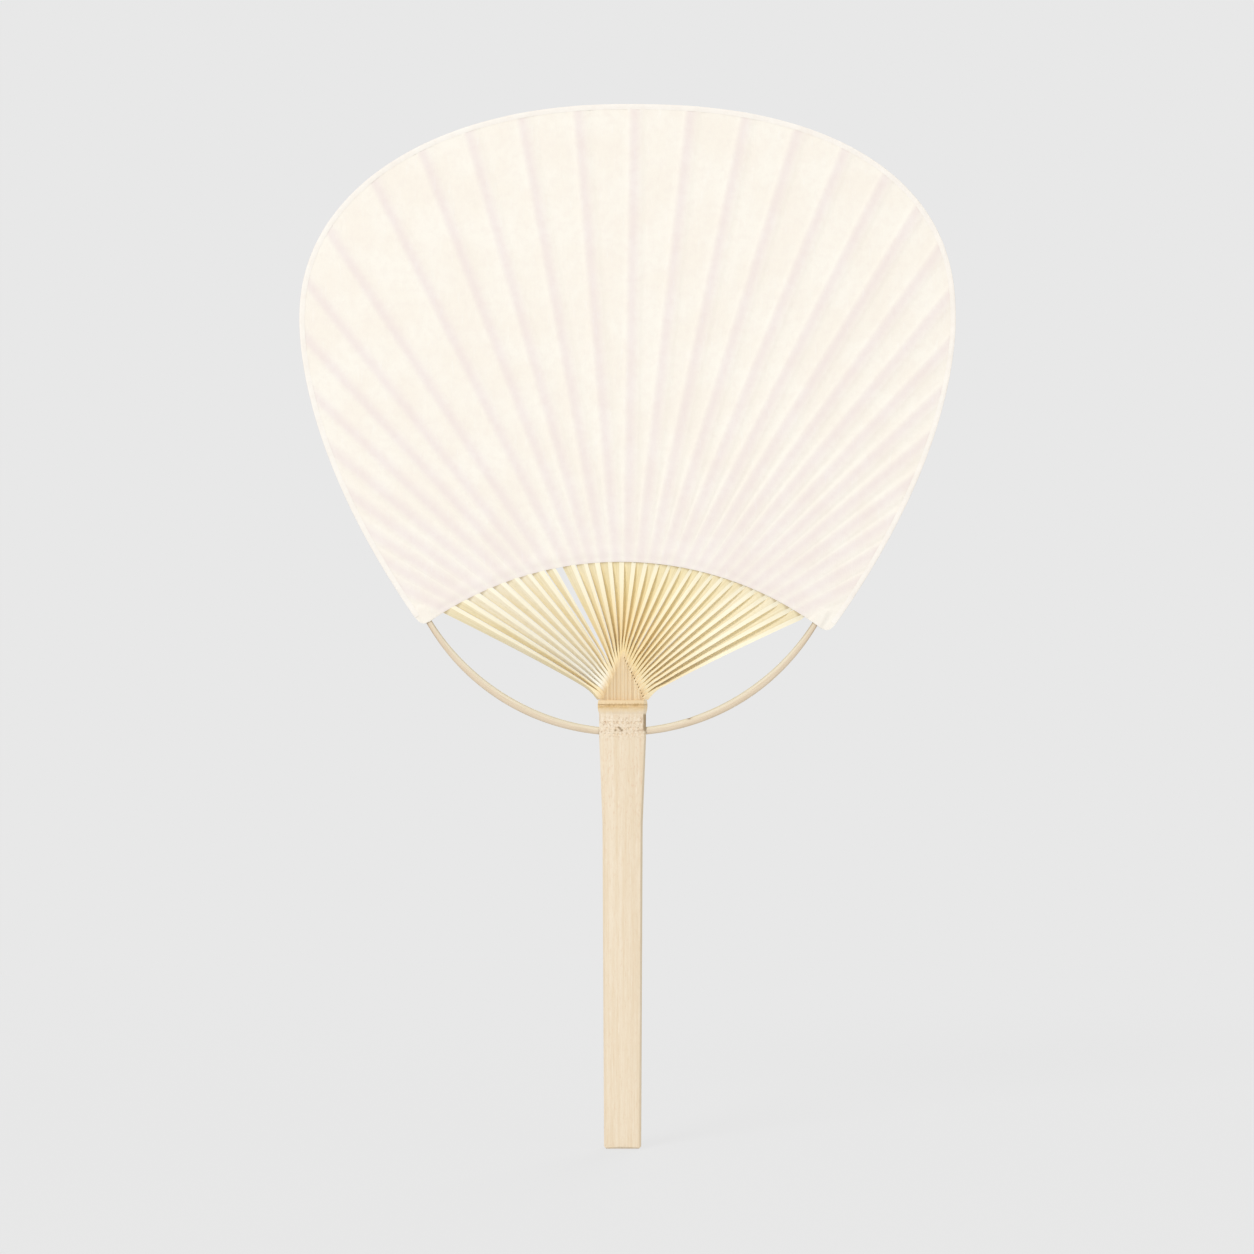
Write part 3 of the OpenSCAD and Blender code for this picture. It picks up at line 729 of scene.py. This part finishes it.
def rib_outline(rib, u, room, turned, along, height):
    """Points round a rib as [right, depth, skin, shade], u going from the head at 0 to the paper at 1.

    The pale bevel reaches under the undercut left side of the next rib. Beside the neck a rib is thicker,
    because the split ends there, and the outermost ones start as wide as the slat's own edge."""
    thin = lerp(ROOT_T, RIB_T, u)
    fill = NECK_FILL + JOIN_FILL * ramp(along, *JOIN_RISE) * ramp(along, *JOIN_FADE)
    t = lerp(thin, max(thin, fill * room), ramp(along, *NECK_FILL_FADE))
    root = OUTER_ROOT * ramp(height, *OUTER_RISE) * ramp(along, *OUTER_FADE)
    outer = -t / 2 - root * (rib.index == 0)
    inner = t / 2 + root * (rib.index == RIB_COUNT - 1)
    face = lerp(ROOT_D, RIB_FACE_W, u) / 2
    shown = max(turned, LEAST_TURN)
    widest = lerp(WIDEST_BEVEL, LOOSE_BEVEL, looseness(rib))
    bevel = min(widest, max(0, (room + TUCK - t * math.sqrt(1 - turned ** 2)) / shown - 2 * face))
    right = face + bevel
    line = min(LINE_W / shown, LINE_SHARE * face)
    share = SKIN_SHARE + SKIN_VARIES * chance(rib.index, *SKIN_CHANCE)
    skin_end = lerp(face, share * (face + right) - face, u)
    return [(-face + UNDERCUT * u, inner, 0, 1), (-face, outer + RIB_SOFT, 0, 1),
            (-face + RIB_SOFT, outer + RIB_DIP, 1, 1), (-face + line, outer, 1, 0),
            (max(0, line - face), outer, 1, 0), (skin_end - RIB_SOFT, outer, 1, 0),
            (skin_end, outer + RIB_DIP, 0, 0), (max(face, skin_end + RIB_SOFT), outer + RIB_SOFT, 0, 0),
            (right, inner - RIB_SOFT, 0, 0), (right - RIB_SOFT, inner, 0, 0)]


def rib_ring(rib, station):
    """One ring of a rib as points and as [length round it, skin, shade] at each point.

    The skin turns from the left side in the head to the front in the paper."""
    place, lean, u, along, room, bevel_left = station
    turned = rib_twist(rib, room, along)
    edge_on = math.sqrt(1 - turned ** 2)
    across = Vector((math.cos(lean) * turned, -edge_on, -math.sin(lean) * turned))
    back = Vector((math.cos(lean) * edge_on, turned, -math.sin(lean) * edge_on))
    centre = Vector((place.x, 0, place.y))
    limit = RIB_FACE_W / 2 + rib.bevel
    points, values = [], []
    round_it = 0
    previous = None
    for right, depth, skin, shade in rib_outline(rib, u, room, turned, along, place.y):
        if previous:
            round_it += math.dist(previous, (right, depth))
        previous = (right, depth)
        kept = right if right < limit else lerp(limit, right, bevel_left)
        points.append(centre + kept * across + depth * back)
        values.append((round_it, skin, shade))
    return points, values


def spread_at(rib, t):
    """Distance from a rib to the next one at t along the bend, square to the rib."""
    first = ribs[min(rib.index, RIB_COUNT - 2)]
    place, lean, _ = first.bent(t)
    return square_part(ribs[first.index + 1].bent(t)[0] - place, lean)


def rib_stations(rib, length):
    """Place, lean, share of the way to the paper, length so far, room and share of the wide bevel left,
    from the slot's floor to the rim, and the length so far at the paper's edge."""
    head = [(Vector((rib.root_x, z)), 0, 0, z - rib.leave_z, ROOT_PITCH, 1)
            for z in (SPLIT_GAP - SLOT_DEEP, 0, rib.leave_z / 2)]
    free = []
    along = 0
    last = Vector((rib.root_x, rib.leave_z))
    for k in RIB_BENDS:
        t = k ** BEND_CROWDING
        place, lean, u = rib.bent(t)
        along += (place - last).length
        last = place
        free.append((place, lean, u, along, spread_at(rib, t), 1))
    inside = [(rib.entry + rib.way * far, rib.lean, 1, along + far, rib.room, max(0, 1 - far / BEVEL_RUN))
              for far in [BEVEL_RUN / 2] + spaced(BEVEL_RUN, length, INSIDE_STEPS)]
    return head + free + inside, along


# How golden the ribs are, over the shares of the way from the leftmost rib to the rightmost one
GOLD_RISE = (-0.02, 0.53)
GOLD_LOSS = 0.45
GOLD_LOSS_RISE = (0.6, 0.95)
GOLD_VARIES = 0.16
GOLD_CHANCE = (1.9, 3.1, 0.2)
LEFT_GOLD_RIBS = 2
LEFT_GOLD = 0.6

# Tones along a rib, in millimetres from where it leaves the head, and the painted shadow of the paper's edge
# on the rib's skin
TONE_VARIES = 0.2
TONE_SEED = 50
TONE_SPAN = 9
# SHADE_WARMTH_FADE is where painted shade and bounce light between the close ribs warm the gold, strongest
# at the neck
SHADE_WARMTH_FADE = (38, 0)
# LIT_PALING is painted light that pales the paler ribs near the neck, against the shade between the ribs
# there
LIT_PALING = 0.85
LIT_PALING_FADE = (36, 8)
NECK_FADE = (3.4, 0.2)
STRIP_TONE = 0.5
STRIP_VARIES = 0.9
STRIP_CHANCE = (0.87, 8.1, 0.4)
PAPER_SHADOW = 0.45
PAPER_SHADOW_RUN = 0.9
GRAIN_STEP = 3.7

# Painted shade lines at the ribs' left edges, in the shaded slits between the ribs, over the shares of the
# way from the neck to the paper. They are fainter on the left, up to LEFT_SLITS_END of the ribs, and
# DARK_SLITS gives some ribs, counted from 0, a painted shade line of their own darkness
SLIT_DARK = 0.75
SLIT_FAINT = 0.1
SLIT_PALING = (0.1, 0.6)
SLIT_TONE = 0.4
SLIT_VARIES = 1.3
SLIT_CHANCE = (2.3, 5.7, 0.9)
SLIT_START = 0.14
SLIT_RISE = 0.05
START_CHANCE = (3.1, 1.7, 0.3)
LEFT_SLITS = 0.3
LEFT_SLITS_END = (0.25, 0.4)
DARK_SLITS = {1: 1, 4: 0.4, 10: 0.85, 11: 0.85, 18: 0.7, 20: 0.8, 21: 0.7, 24: 0.5, 28: 1}
DARK_START = -0.02


def rib_gold(index):
    """How golden a rib is: pale on the left but for the first two, most golden right of the middle."""
    share = index / (RIB_COUNT - 1)
    golden = ramp(share, *GOLD_RISE) * (1 - GOLD_LOSS * ramp(share, *GOLD_LOSS_RISE))
    if index < LEFT_GOLD_RIBS:
        golden = LEFT_GOLD
    return golden + GOLD_VARIES * chance(index, *GOLD_CHANCE)


def slit_shade(rib, u):
    """Darkness of the painted shade line at a rib's left edge, strongest near the neck and faint on the left
    ribs.
    """
    left = ramp(rib.index / (RIB_COUNT - 1), *LEFT_SLITS_END)
    own = (SLIT_TONE + SLIT_VARIES * chance(rib.index, *SLIT_CHANCE)) * lerp(LEFT_SLITS, 1, left)
    start = SLIT_START * (0.5 + chance(rib.index, *START_CHANCE))
    if rib.index in DARK_SLITS:
        own = DARK_SLITS[rib.index]
        start = DARK_START
    dark = ramp(u, start, start + SLIT_RISE) * lerp(SLIT_DARK, SLIT_FAINT, ramp(u, *SLIT_PALING))
    return dark * min(1, max(0, own))


def rib_tones(rib, golden, along):
    """The values that are the same all round a rib."""
    tones = {"neck": ramp(along, *NECK_FADE),
             "tone": golden + TONE_VARIES * wander(rib.index + TONE_SEED, along, TONE_SPAN),
             "shade_warmth": golden * ramp(along, *SHADE_WARMTH_FADE),
             "strip": STRIP_TONE + STRIP_VARIES * chance(rib.index, *STRIP_CHANCE),
             "lit_paling": LIT_PALING * max(0, 1 - 2 * golden) * ramp(along, *LIT_PALING_FADE)}
    return {key: min(1, max(0, tone)) for key, tone in tones.items()}


def make_rib(rib, inner_rim, wood):
    near = min(ray_meets(rib.entry + right * rib.right_way, rib.way, inner_rim)[0]
               for right in (-RIB_FACE_W / 2, RIB_FACE_W / 2 + rib.bevel))
    stations, paper_at = rib_stations(rib, near - RIM_GAP)
    golden = rib_gold(rib.index)
    points = []
    values = {key: [] for key in ("grain", "skin", "shade", "neck", "tone", "shade_warmth", "strip", "lit_paling")}
    for station in stations:
        u, along = station[2:4]
        ring, around = rib_ring(rib, station)
        points += ring
        dark = slit_shade(rib, u)
        # Painted shadow that the paper's edge casts on the top of the rib's skin
        paper_shadow = PAPER_SHADOW * ramp(along, paper_at - PAPER_SHADOW_RUN, paper_at)
        for round_it, skin, shade in around:
            values["grain"].append((round_it, along, rib.index * GRAIN_STEP))
            values["skin"].append(skin)
            values["shade"].append(max(shade * dark, paper_shadow * skin))
        for key, tone in rib_tones(rib, golden, along).items():
            values[key] += [tone] * RIB_SIDES
    faces = tube_faces(len(stations), RIB_SIDES)
    new_piece(rib.name + "_wood", points, faces, wood, [rib.name], values)


# Shape of the bow, whose section is a rounded oblong
BOW_SIDES = 20
BOW_STEPS = 90
BOW_SQUARENESS = 0.8
BOW_VARIES = 0.02
BOW_SEED = 91
BOW_SPAN = 13
BOW_GRAIN = 17

# Tones of the bow. A pair goes from where a tone is absent to where it is full, over the cosine of the angle
# round the section, which is 1 outside the arc and -1 inside it
# OUTER_SIDE and OUTER_TURN place the painted shade on the lower side of the cane
OUTER_SIDE = (-0.5, 0.4)
OUTER_TURN = 0.25
TOP_SIDE = (-0.5, -0.9)
TOP_TONE = 0.6
NICK_SIDE = (-0.4, -0.8)
NICK_ALONG = 25
NICK_REACH = 1.2
NICK_DEEP = 0.12
TIP_EDGES = (0.2, 0.8)
TIP_DARK = 0.45


def bow_width(u):
    """The bow's width, u going from the handle at 0 to the paper's edge at 1."""
    if u < 0.5:
        return lerp(BOW_W, BOW_ARM_W, math.sin(math.pi * u))
    return lerp(BOW_ARM_W, BOW_TIP_W, 1 - math.sin(math.pi * u))


def bow_nick(along, q):
    """A small dark nick on the upper edge of the right arm."""
    return ramp(abs(along - NICK_ALONG), NICK_REACH, 0) * ramp(math.cos(q), *NICK_SIDE)


def squarer(value):
    return math.copysign(abs(value) ** BOW_SQUARENESS, value)


def make_bow(wood):
    points, grain, outer, nick, top = [], [], [], [], []
    turns = spaced(-bow_end(-1), 0, BOW_STEPS)[:-1] + spaced(0, bow_end(1), BOW_STEPS)
    for turn in turns:
        enter = bow_meets(-1 if turn < 0 else 1, EDGE_R)
        along = turn * BOW_R
        worn = 1 - BOW_VARIES * (1 - wander(BOW_SEED, along, BOW_SPAN))
        half_w = bow_width(min(1, abs(turn) / enter)) / 2 * worn
        thin = min(1, max(0, 1 - (enter - abs(turn)) * BOW_R / THIN_LEN))
        half_t = lerp(BOW_T, BOW_TIP_T, thin) / 2
        centre = bow_point(turn)
        out = Vector((math.sin(turn), -math.cos(turn)))
        for k in range(BOW_SIDES):
            q = 2 * math.pi * k / BOW_SIDES
            cut = bow_nick(along, q)
            place = centre + out * half_w * squarer(math.cos(q)) * (1 - NICK_DEEP * cut)
            points.append((place.x, half_t * squarer(math.sin(q)), place.y))
            grain.append((q * BOW_W / 2, along, BOW_GRAIN))
            outer.append(ramp(math.cos(q + OUTER_TURN), *OUTER_SIDE))
            top.append(TOP_TONE * ramp(math.cos(q), *TOP_SIDE))
            nick.append(max(cut, TIP_DARK * thin * ramp(abs(math.cos(q)), *TIP_EDGES)))
    faces = tube_faces(len(turns), BOW_SIDES)
    new_piece("bow_cane", points, faces, wood, ["bow"],
              {"grain": grain, "outer": outer, "nick": nick, "top": top})


# How the sheets swell over ribs, thread and lashings, and where the painted shade of the ribs shows through
# them
SHOULDER = 1.9
THREAD_RUN = 4.2
TIP_RUN = 2.2
PUCKER = 0.07
PUCKER_SPAN_X = 17
PUCKER_SPAN_Z = 23
BAND_CORE = 0.3
BAND_FALL_LEFT = 2.3
BAND_FALL_RIGHT = 4.1
BAND_POWER = 1.5

# Where a sheet's points lie: distances from its lower edge, shares of the rest, shares of the gaps between
# the ribs and shares of the two side pieces
EDGE_ROWS = (0, 0.25, 0.6, 1.1, 1.7, 2.4, 3.1, 3.8, 4.5, 5.2, 6.1, 7.2, 8.6, 10.2, 12)
EDGE_ROWS_SHARE = 0.3
FAR_ROWS = 40
RIB_LINES = 4
GAP_SHARES = (0, 0.03, 0.07, 0.12, 0.2, 0.35, 0.5, 0.65, 0.8, 0.88, 0.93, 0.97)
SIDE_SHARES = spaced(0, 1, 26)[:-1]

# The share of its thickness that a sheet loses at its lower edge, and how far from there it is whole
EDGE_WORN = 0.65
EDGE_WORN_RUN = 0.4


def falling(distance, run):
    """1 where distance is 0 or less, falling softly to 0 at run, for arrays."""
    t = np.clip(distance / run, 0, 1)
    return 1 - t * t * (3 - 2 * t)


def beside_ribs(x, z, spare):
    """Distance of points of the leaf from the nearest rib, less than 0 over a rib."""
    nearest = np.full(x.shape, np.inf)
    for rib in ribs:
        right = rib.right_of(x, z)
        beside = np.maximum(-RIB_FACE_W / 2 - right, right - RIB_FACE_W / 2 - rib.bevel) - spare
        nearest = np.minimum(nearest, beside)
    return nearest


def rib_bands(x, z):
    """How strongly the painted shade of the ribs shows through the paper: steep to their left and soft to
    their right.
    """
    shown = np.zeros(x.shape)
    for rib in ribs:
        right = rib.right_of(x, z)
        left_side = falling(-right - BAND_CORE, BAND_FALL_LEFT)
        right_side = falling(right - BAND_CORE, BAND_FALL_RIGHT) ** BAND_POWER
        shown = np.maximum(shown, left_side * right_side)
    return shown


def thread_swelling(x, z):
    """1 over the threads, falling to 0 beside them and past the bow's tips."""
    from_edge = np.hypot(x - EDGE_C.x, z - EDGE_C.y) - EDGE_R
    angle = np.arctan2(x - EDGE_C.x, z - EDGE_C.y)
    past_tip = np.maximum(arc_angle(lashed_at(-1)) - angle, angle - arc_angle(lashed_at(1))) * THREAD_R
    half_w = (THREAD_APART + THREAD_D) / 2 + GLUE_GAP
    return falling(np.abs(from_edge - THREAD_IN) - half_w, THREAD_RUN) * falling(past_tip, TIP_RUN)


def tip_swelling(x, z, side):
    """1 over a lashed tip of the bow, falling to 0 round it."""
    tip = bow_point(side * bow_meets(side, THREAD_R))
    along = (bow_point(side * bow_end(side)) - tip).normalized()
    dx, dz = x - tip.x, z - tip.y
    ahead = dx * along.x + dz * along.y - TIP_PAST
    aside = np.abs(dx * along.y - dz * along.x) - BOW_TIP_W / 2 - TIE_T
    return falling(ahead, TIP_RUN) * falling(aside, TIP_RUN)


def relief(x, z):
    """Distance of a sheet's outer face from the middle plane: it swells over ribs, thread and lashings."""
    height = lerp(FLAT_Y, RIB_PAD_Y, falling(beside_ribs(x, z, GLUE_GAP), SHOULDER))
    height = np.maximum(height, lerp(FLAT_Y, THREAD_PAD_Y, thread_swelling(x, z)))
    for side in (-1, 1):
        height = np.maximum(height, lerp(FLAT_Y, TIP_PAD_Y, tip_swelling(x, z, side)))
    return height


def pucker(points):
    """A faint outward swelling of the paper between the ribs, at points of the leaf."""
    slow = [noise.noise(Vector((p.x / PUCKER_SPAN_X, 0, p.y / PUCKER_SPAN_Z))) for p in points]
    return PUCKER * (0.5 + 0.5 * np.array(slow))


def apart(points):
    """Across and height of points of the leaf, as two arrays."""
    return np.array([p.x for p in points]), np.array([p.y for p in points])


def sheet_columns(rim):
    """Columns of a sheet as [place on the lower edge, place on the rim], along and between the ribs."""
    total = sum((b - a).length for a, b in zip(rim, rim[1:]))
    lines = []
    for rib in ribs:
        for right in (-RIB_FACE_W / 2, -RIB_FACE_W / 6, RIB_FACE_W / 6, RIB_FACE_W / 2 + rib.bevel):
            foot = rib.line_meets(right, EDGE_R)
            lines.append((arc_angle(foot), ray_meets(foot, rib.way, rim)[1]))
    stops = [(corner_angle(-1), 0)] + lines + [(corner_angle(1), total)]
    columns = []
    for k, (a, b) in enumerate(zip(stops, stops[1:])):
        at_side = k in (0, len(lines))
        in_gap = k % RIB_LINES == 0
        shares = SIDE_SHARES if at_side else GAP_SHARES if in_gap else (0,)
        columns += [(lerp(a[0], b[0], share), lerp(a[1], b[1], share)) for share in shares]
    columns.append(stops[-1])
    return [(arc_point(angle), path_point(rim, run)) for angle, run in columns]


def sheet_grid(rim):
    """Points of the leaf's plane, one row of points up each column, and how many columns and rows."""
    columns = sheet_columns(rim)
    points = []
    for foot, top in columns:
        length = (top - foot).length
        near = min(EDGE_ROWS[-1], EDGE_ROWS_SHARE * length)
        shares = [near / EDGE_ROWS[-1] * row / length if length > 0 else 0 for row in EDGE_ROWS]
        shares += spaced(shares[-1], 1, FAR_ROWS)[1:]
        points += [lerp(foot, top, share) for share in shares]
    return points, len(columns), len(EDGE_ROWS) + FAR_ROWS


def make_sheet(name, side, grid, paper, replaced):
    flat, columns, rows = grid
    x, z = apart(flat)
    free = 1 - falling(beside_ribs(x, z, 0), SHOULDER)
    outer = relief(x, z) + free * pucker(flat)
    inner = outer - PAPER_T
    from_edge = np.hypot(x - EDGE_C.x, z - EDGE_C.y) - EDGE_R
    outer = outer - EDGE_WORN * PAPER_T * (1 - np.clip(from_edge / EDGE_WORN_RUN, 0, 1))
    points = list(zip(x, side * outer, z)) + list(zip(x, side * inner, z))
    count = len(flat)
    faces = grid_faces(columns, rows) + [face[::-1] for face in grid_faces(columns, rows, count)]
    for row in (0, rows - 1):
        border = [column * rows + row for column in range(columns)]
        faces += [(a, b, b + count, a + count) for a, b in zip(border, border[1:])]
    new_piece(name, points, faces, paper, replaced, {"band": np.tile(rib_bands(x, z), 2)})


# The tape's section. A lap is how far in from the rim it lies on the sheet, with the share of its thickness
# there. A fold is how far it is from the rim, at 0, to the sheet's edge, at 1, with its share of the height
TAPE_LAPS = ((TAPE_W, 0.2), (TAPE_W / 2, 1), (0.35, 1))
OUTER_FOLDS = ((0.6, 0.85), (0.1, 0.5))
INNER_FOLD = (0.85, 0.5)


def tape_ring(edge, place, lift):
    """Points round the folded tape, from the points and the sheet's lifts at each inset."""
    def fold(far, share, top):
        return lerp(edge, place[PAPER_IN], far), share * top
    outside = [(place[inset], lift[inset] + share * TAPE_T) for inset, share in TAPE_LAPS]
    outside += [fold(far, share, lift[PAPER_IN] + TAPE_T) for far, share in OUTER_FOLDS]
    inside = [(place[inset], lift[inset]) for inset, _ in TAPE_LAPS] + [fold(*INNER_FOLD, lift[PAPER_IN])]
    ring = [(p, -y) for p, y in outside] + [(edge, 0)] + [(p, y) for p, y in outside[::-1]]
    ring += [(p, y) for p, y in inside] + [(p, -y) for p, y in inside[::-1]]
    return [(p.x, y, p.y) for p, y in ring]


def make_tape(paper):
    """The strip of paper folded over the rim, following the swelling of the sheets."""
    rim = taped_rim()
    paths = {inset: inwards(rim, inset) for inset in [lap[0] for lap in TAPE_LAPS] + [PAPER_IN]}
    lifts = {inset: relief(*apart(path)) + pucker(path) + GLUE_GAP for inset, path in paths.items()}
    points = []
    for k, edge in enumerate(rim):
        place = {inset: path[k] for inset, path in paths.items()}
        lift = {inset: row[k] for inset, row in lifts.items()}
        points += tape_ring(edge, place, lift)
    faces = tube_faces(len(rim), len(points) // len(rim))
    new_piece("edge_tape", points, faces, paper, ["rim_tape"], {"band": [0] * len(points)})


# The handle's rounded edges
SOFT_EDGE = 0.18
SOFT_ANGLE = math.radians(28)


def dress_node(name, material, soft_edge=None):
    """A CAD node keeps its shape and gets its material, and rounded edges where soft_edge is given."""
    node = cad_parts[name]
    node.data.materials.clear()
    node.data.materials.append(material)
    for face in node.data.polygons:
        face.material_index = 0
    if soft_edge:
        bevel = node.modifiers.new("soft_edges", "BEVEL")
        bevel.width = soft_edge * MM
        bevel.segments = 2
        bevel.limit_method = "ANGLE"
        bevel.angle_limit = SOFT_ANGLE
        bevel.harden_normals = True


# The pieces
dress_node("handle", slat_wood(), SOFT_EDGE)
yarn = cotton()
for name in ("thread_front", "thread_back", "tie_left", "tie_right"):
    dress_node(name, yarn)

split_wood = rib_wood()
inner_rim = inwards(taped_rim(), PAPER_IN + GLUE_GAP)
inner_rim = [Vector((inner_rim[0].x, -SLOT_DEEP))] + inner_rim + [Vector((inner_rim[-1].x, -SLOT_DEEP))]
for rib in ribs:
    make_rib(rib, inner_rim, split_wood)
make_bow(bow_wood())

grid = sheet_grid(sheet_rim())
make_sheet("front_paper", -1, grid, leaf_paper("front_washi", LEAF_TONES), ["paper_front"])
make_sheet("back_paper", 1, grid, leaf_paper("back_washi", LEAF_TONES), ["paper_back"])
make_tape(leaf_paper("tape_washi", TAPE_TONES))

# Floor, lamps and world, in metres
BACKGROUND = colour(232, 232, 232)
FLOOR_R = 0.9
FLOOR_SIDES = 96
FLOOR_DROP = 0.0002
FLOOR_SHARE = 0.15
FLOOR_MELTS = (0.1, 0.8 * FLOOR_R)
LAMPS_AIM = Vector((0, 0, 0.15))


def make_floor():
    """A pale disc under the butt that melts into the background and keeps a soft shadow."""
    bpy.ops.mesh.primitive_circle_add(vertices=FLOOR_SIDES, radius=FLOOR_R, fill_type="NGON",
                                      location=(0, 0, BUTT - FLOOR_DROP))
    floor = bpy.context.object
    floor.name = "pale_floor"
    look = Look("floor_paint", roughness=0.9, specular=0.1)
    look.paint(BACKGROUND)
    far = look.node("VectorMath", {0: look.place()}, operation="LENGTH").outputs["Value"]
    glow = look.node("Emission", {"Color": BACKGROUND, "Strength": 1}).outputs[0]
    rays = look.node("LightPath", {}).outputs
    seen = look.maths("MAXIMUM", rays["Is Camera Ray"], rays["Is Glossy Ray"])
    melted = look.times(seen, look.ramp(far, *FLOOR_MELTS, 1 - FLOOR_SHARE, 1))
    blend = look.node("MixShader", {0: melted, 1: look.shader.outputs[0], 2: glow})
    look.put(look.tree.nodes["Material Output"].inputs["Surface"], blend.outputs[0])
    floor.data.materials.append(look.material)


def make_lamp(name, place, size, watts):
    data = bpy.data.lights.new(name, "AREA")
    data.shape = "DISK"
    data.size = size
    data.energy = watts
    lamp = bpy.data.objects.new(name, data)
    lamp.location = place
    lamp.rotation_euler = (LAMPS_AIM - Vector(place)).to_track_quat("-Z", "Y").to_euler()
    bpy.context.scene.collection.objects.link(lamp)


def make_world(strength):
    """Soft white light from all round, and the plain background wherever the world itself is seen."""
    world = bpy.data.worlds.new("studio")
    world.use_nodes = True
    bpy.context.scene.world = world
    nodes = Nodes(world.node_tree)
    soft = nodes.tree.nodes["Background"]
    nodes.put(soft.inputs["Color"], (1, 1, 1, 1))
    nodes.put(soft.inputs["Strength"], strength)
    shown = nodes.node("Background", {"Color": BACKGROUND})
    rays = nodes.node("LightPath", {}).outputs
    seen = nodes.maths("MAXIMUM", rays["Is Camera Ray"], rays["Is Glossy Ray"])
    seen = nodes.maths("MAXIMUM", seen, rays["Is Transmission Ray"])
    blend = nodes.node("MixShader", {0: seen, 1: soft.outputs[0], 2: shown.outputs[0]})
    nodes.put(nodes.tree.nodes["World Output"].inputs["Surface"], blend.outputs[0])


make_floor()
make_lamp("key", (-1.3, -1.9, 1.6), size=1.2, watts=31.5)
make_lamp("fill", (1.3, -1.5, 0.5), size=1.2, watts=5.3)
make_lamp("back", (0.5, 1.3, 0.8), size=0.9, watts=7)
make_world(0.56)

# Camera: long lens, square on to the front, as the photograph was taken
LENS = 100
SENSOR = 36
SEEN_W = 0.4565
CAMERA_X = 0.0016
CAMERA_Z = 0.1296
camera_data = bpy.data.cameras.new("camera")
camera_data.lens = LENS
camera_data.sensor_width = SENSOR
camera = bpy.data.objects.new("camera", camera_data)
camera.location = (CAMERA_X, -SEEN_W * LENS / SENSOR, CAMERA_Z)
camera.rotation_euler = (math.radians(90), 0, 0)
bpy.context.scene.collection.objects.link(camera)
bpy.context.scene.camera = camera
bpy.context.scene.view_settings.view_transform = "Standard"
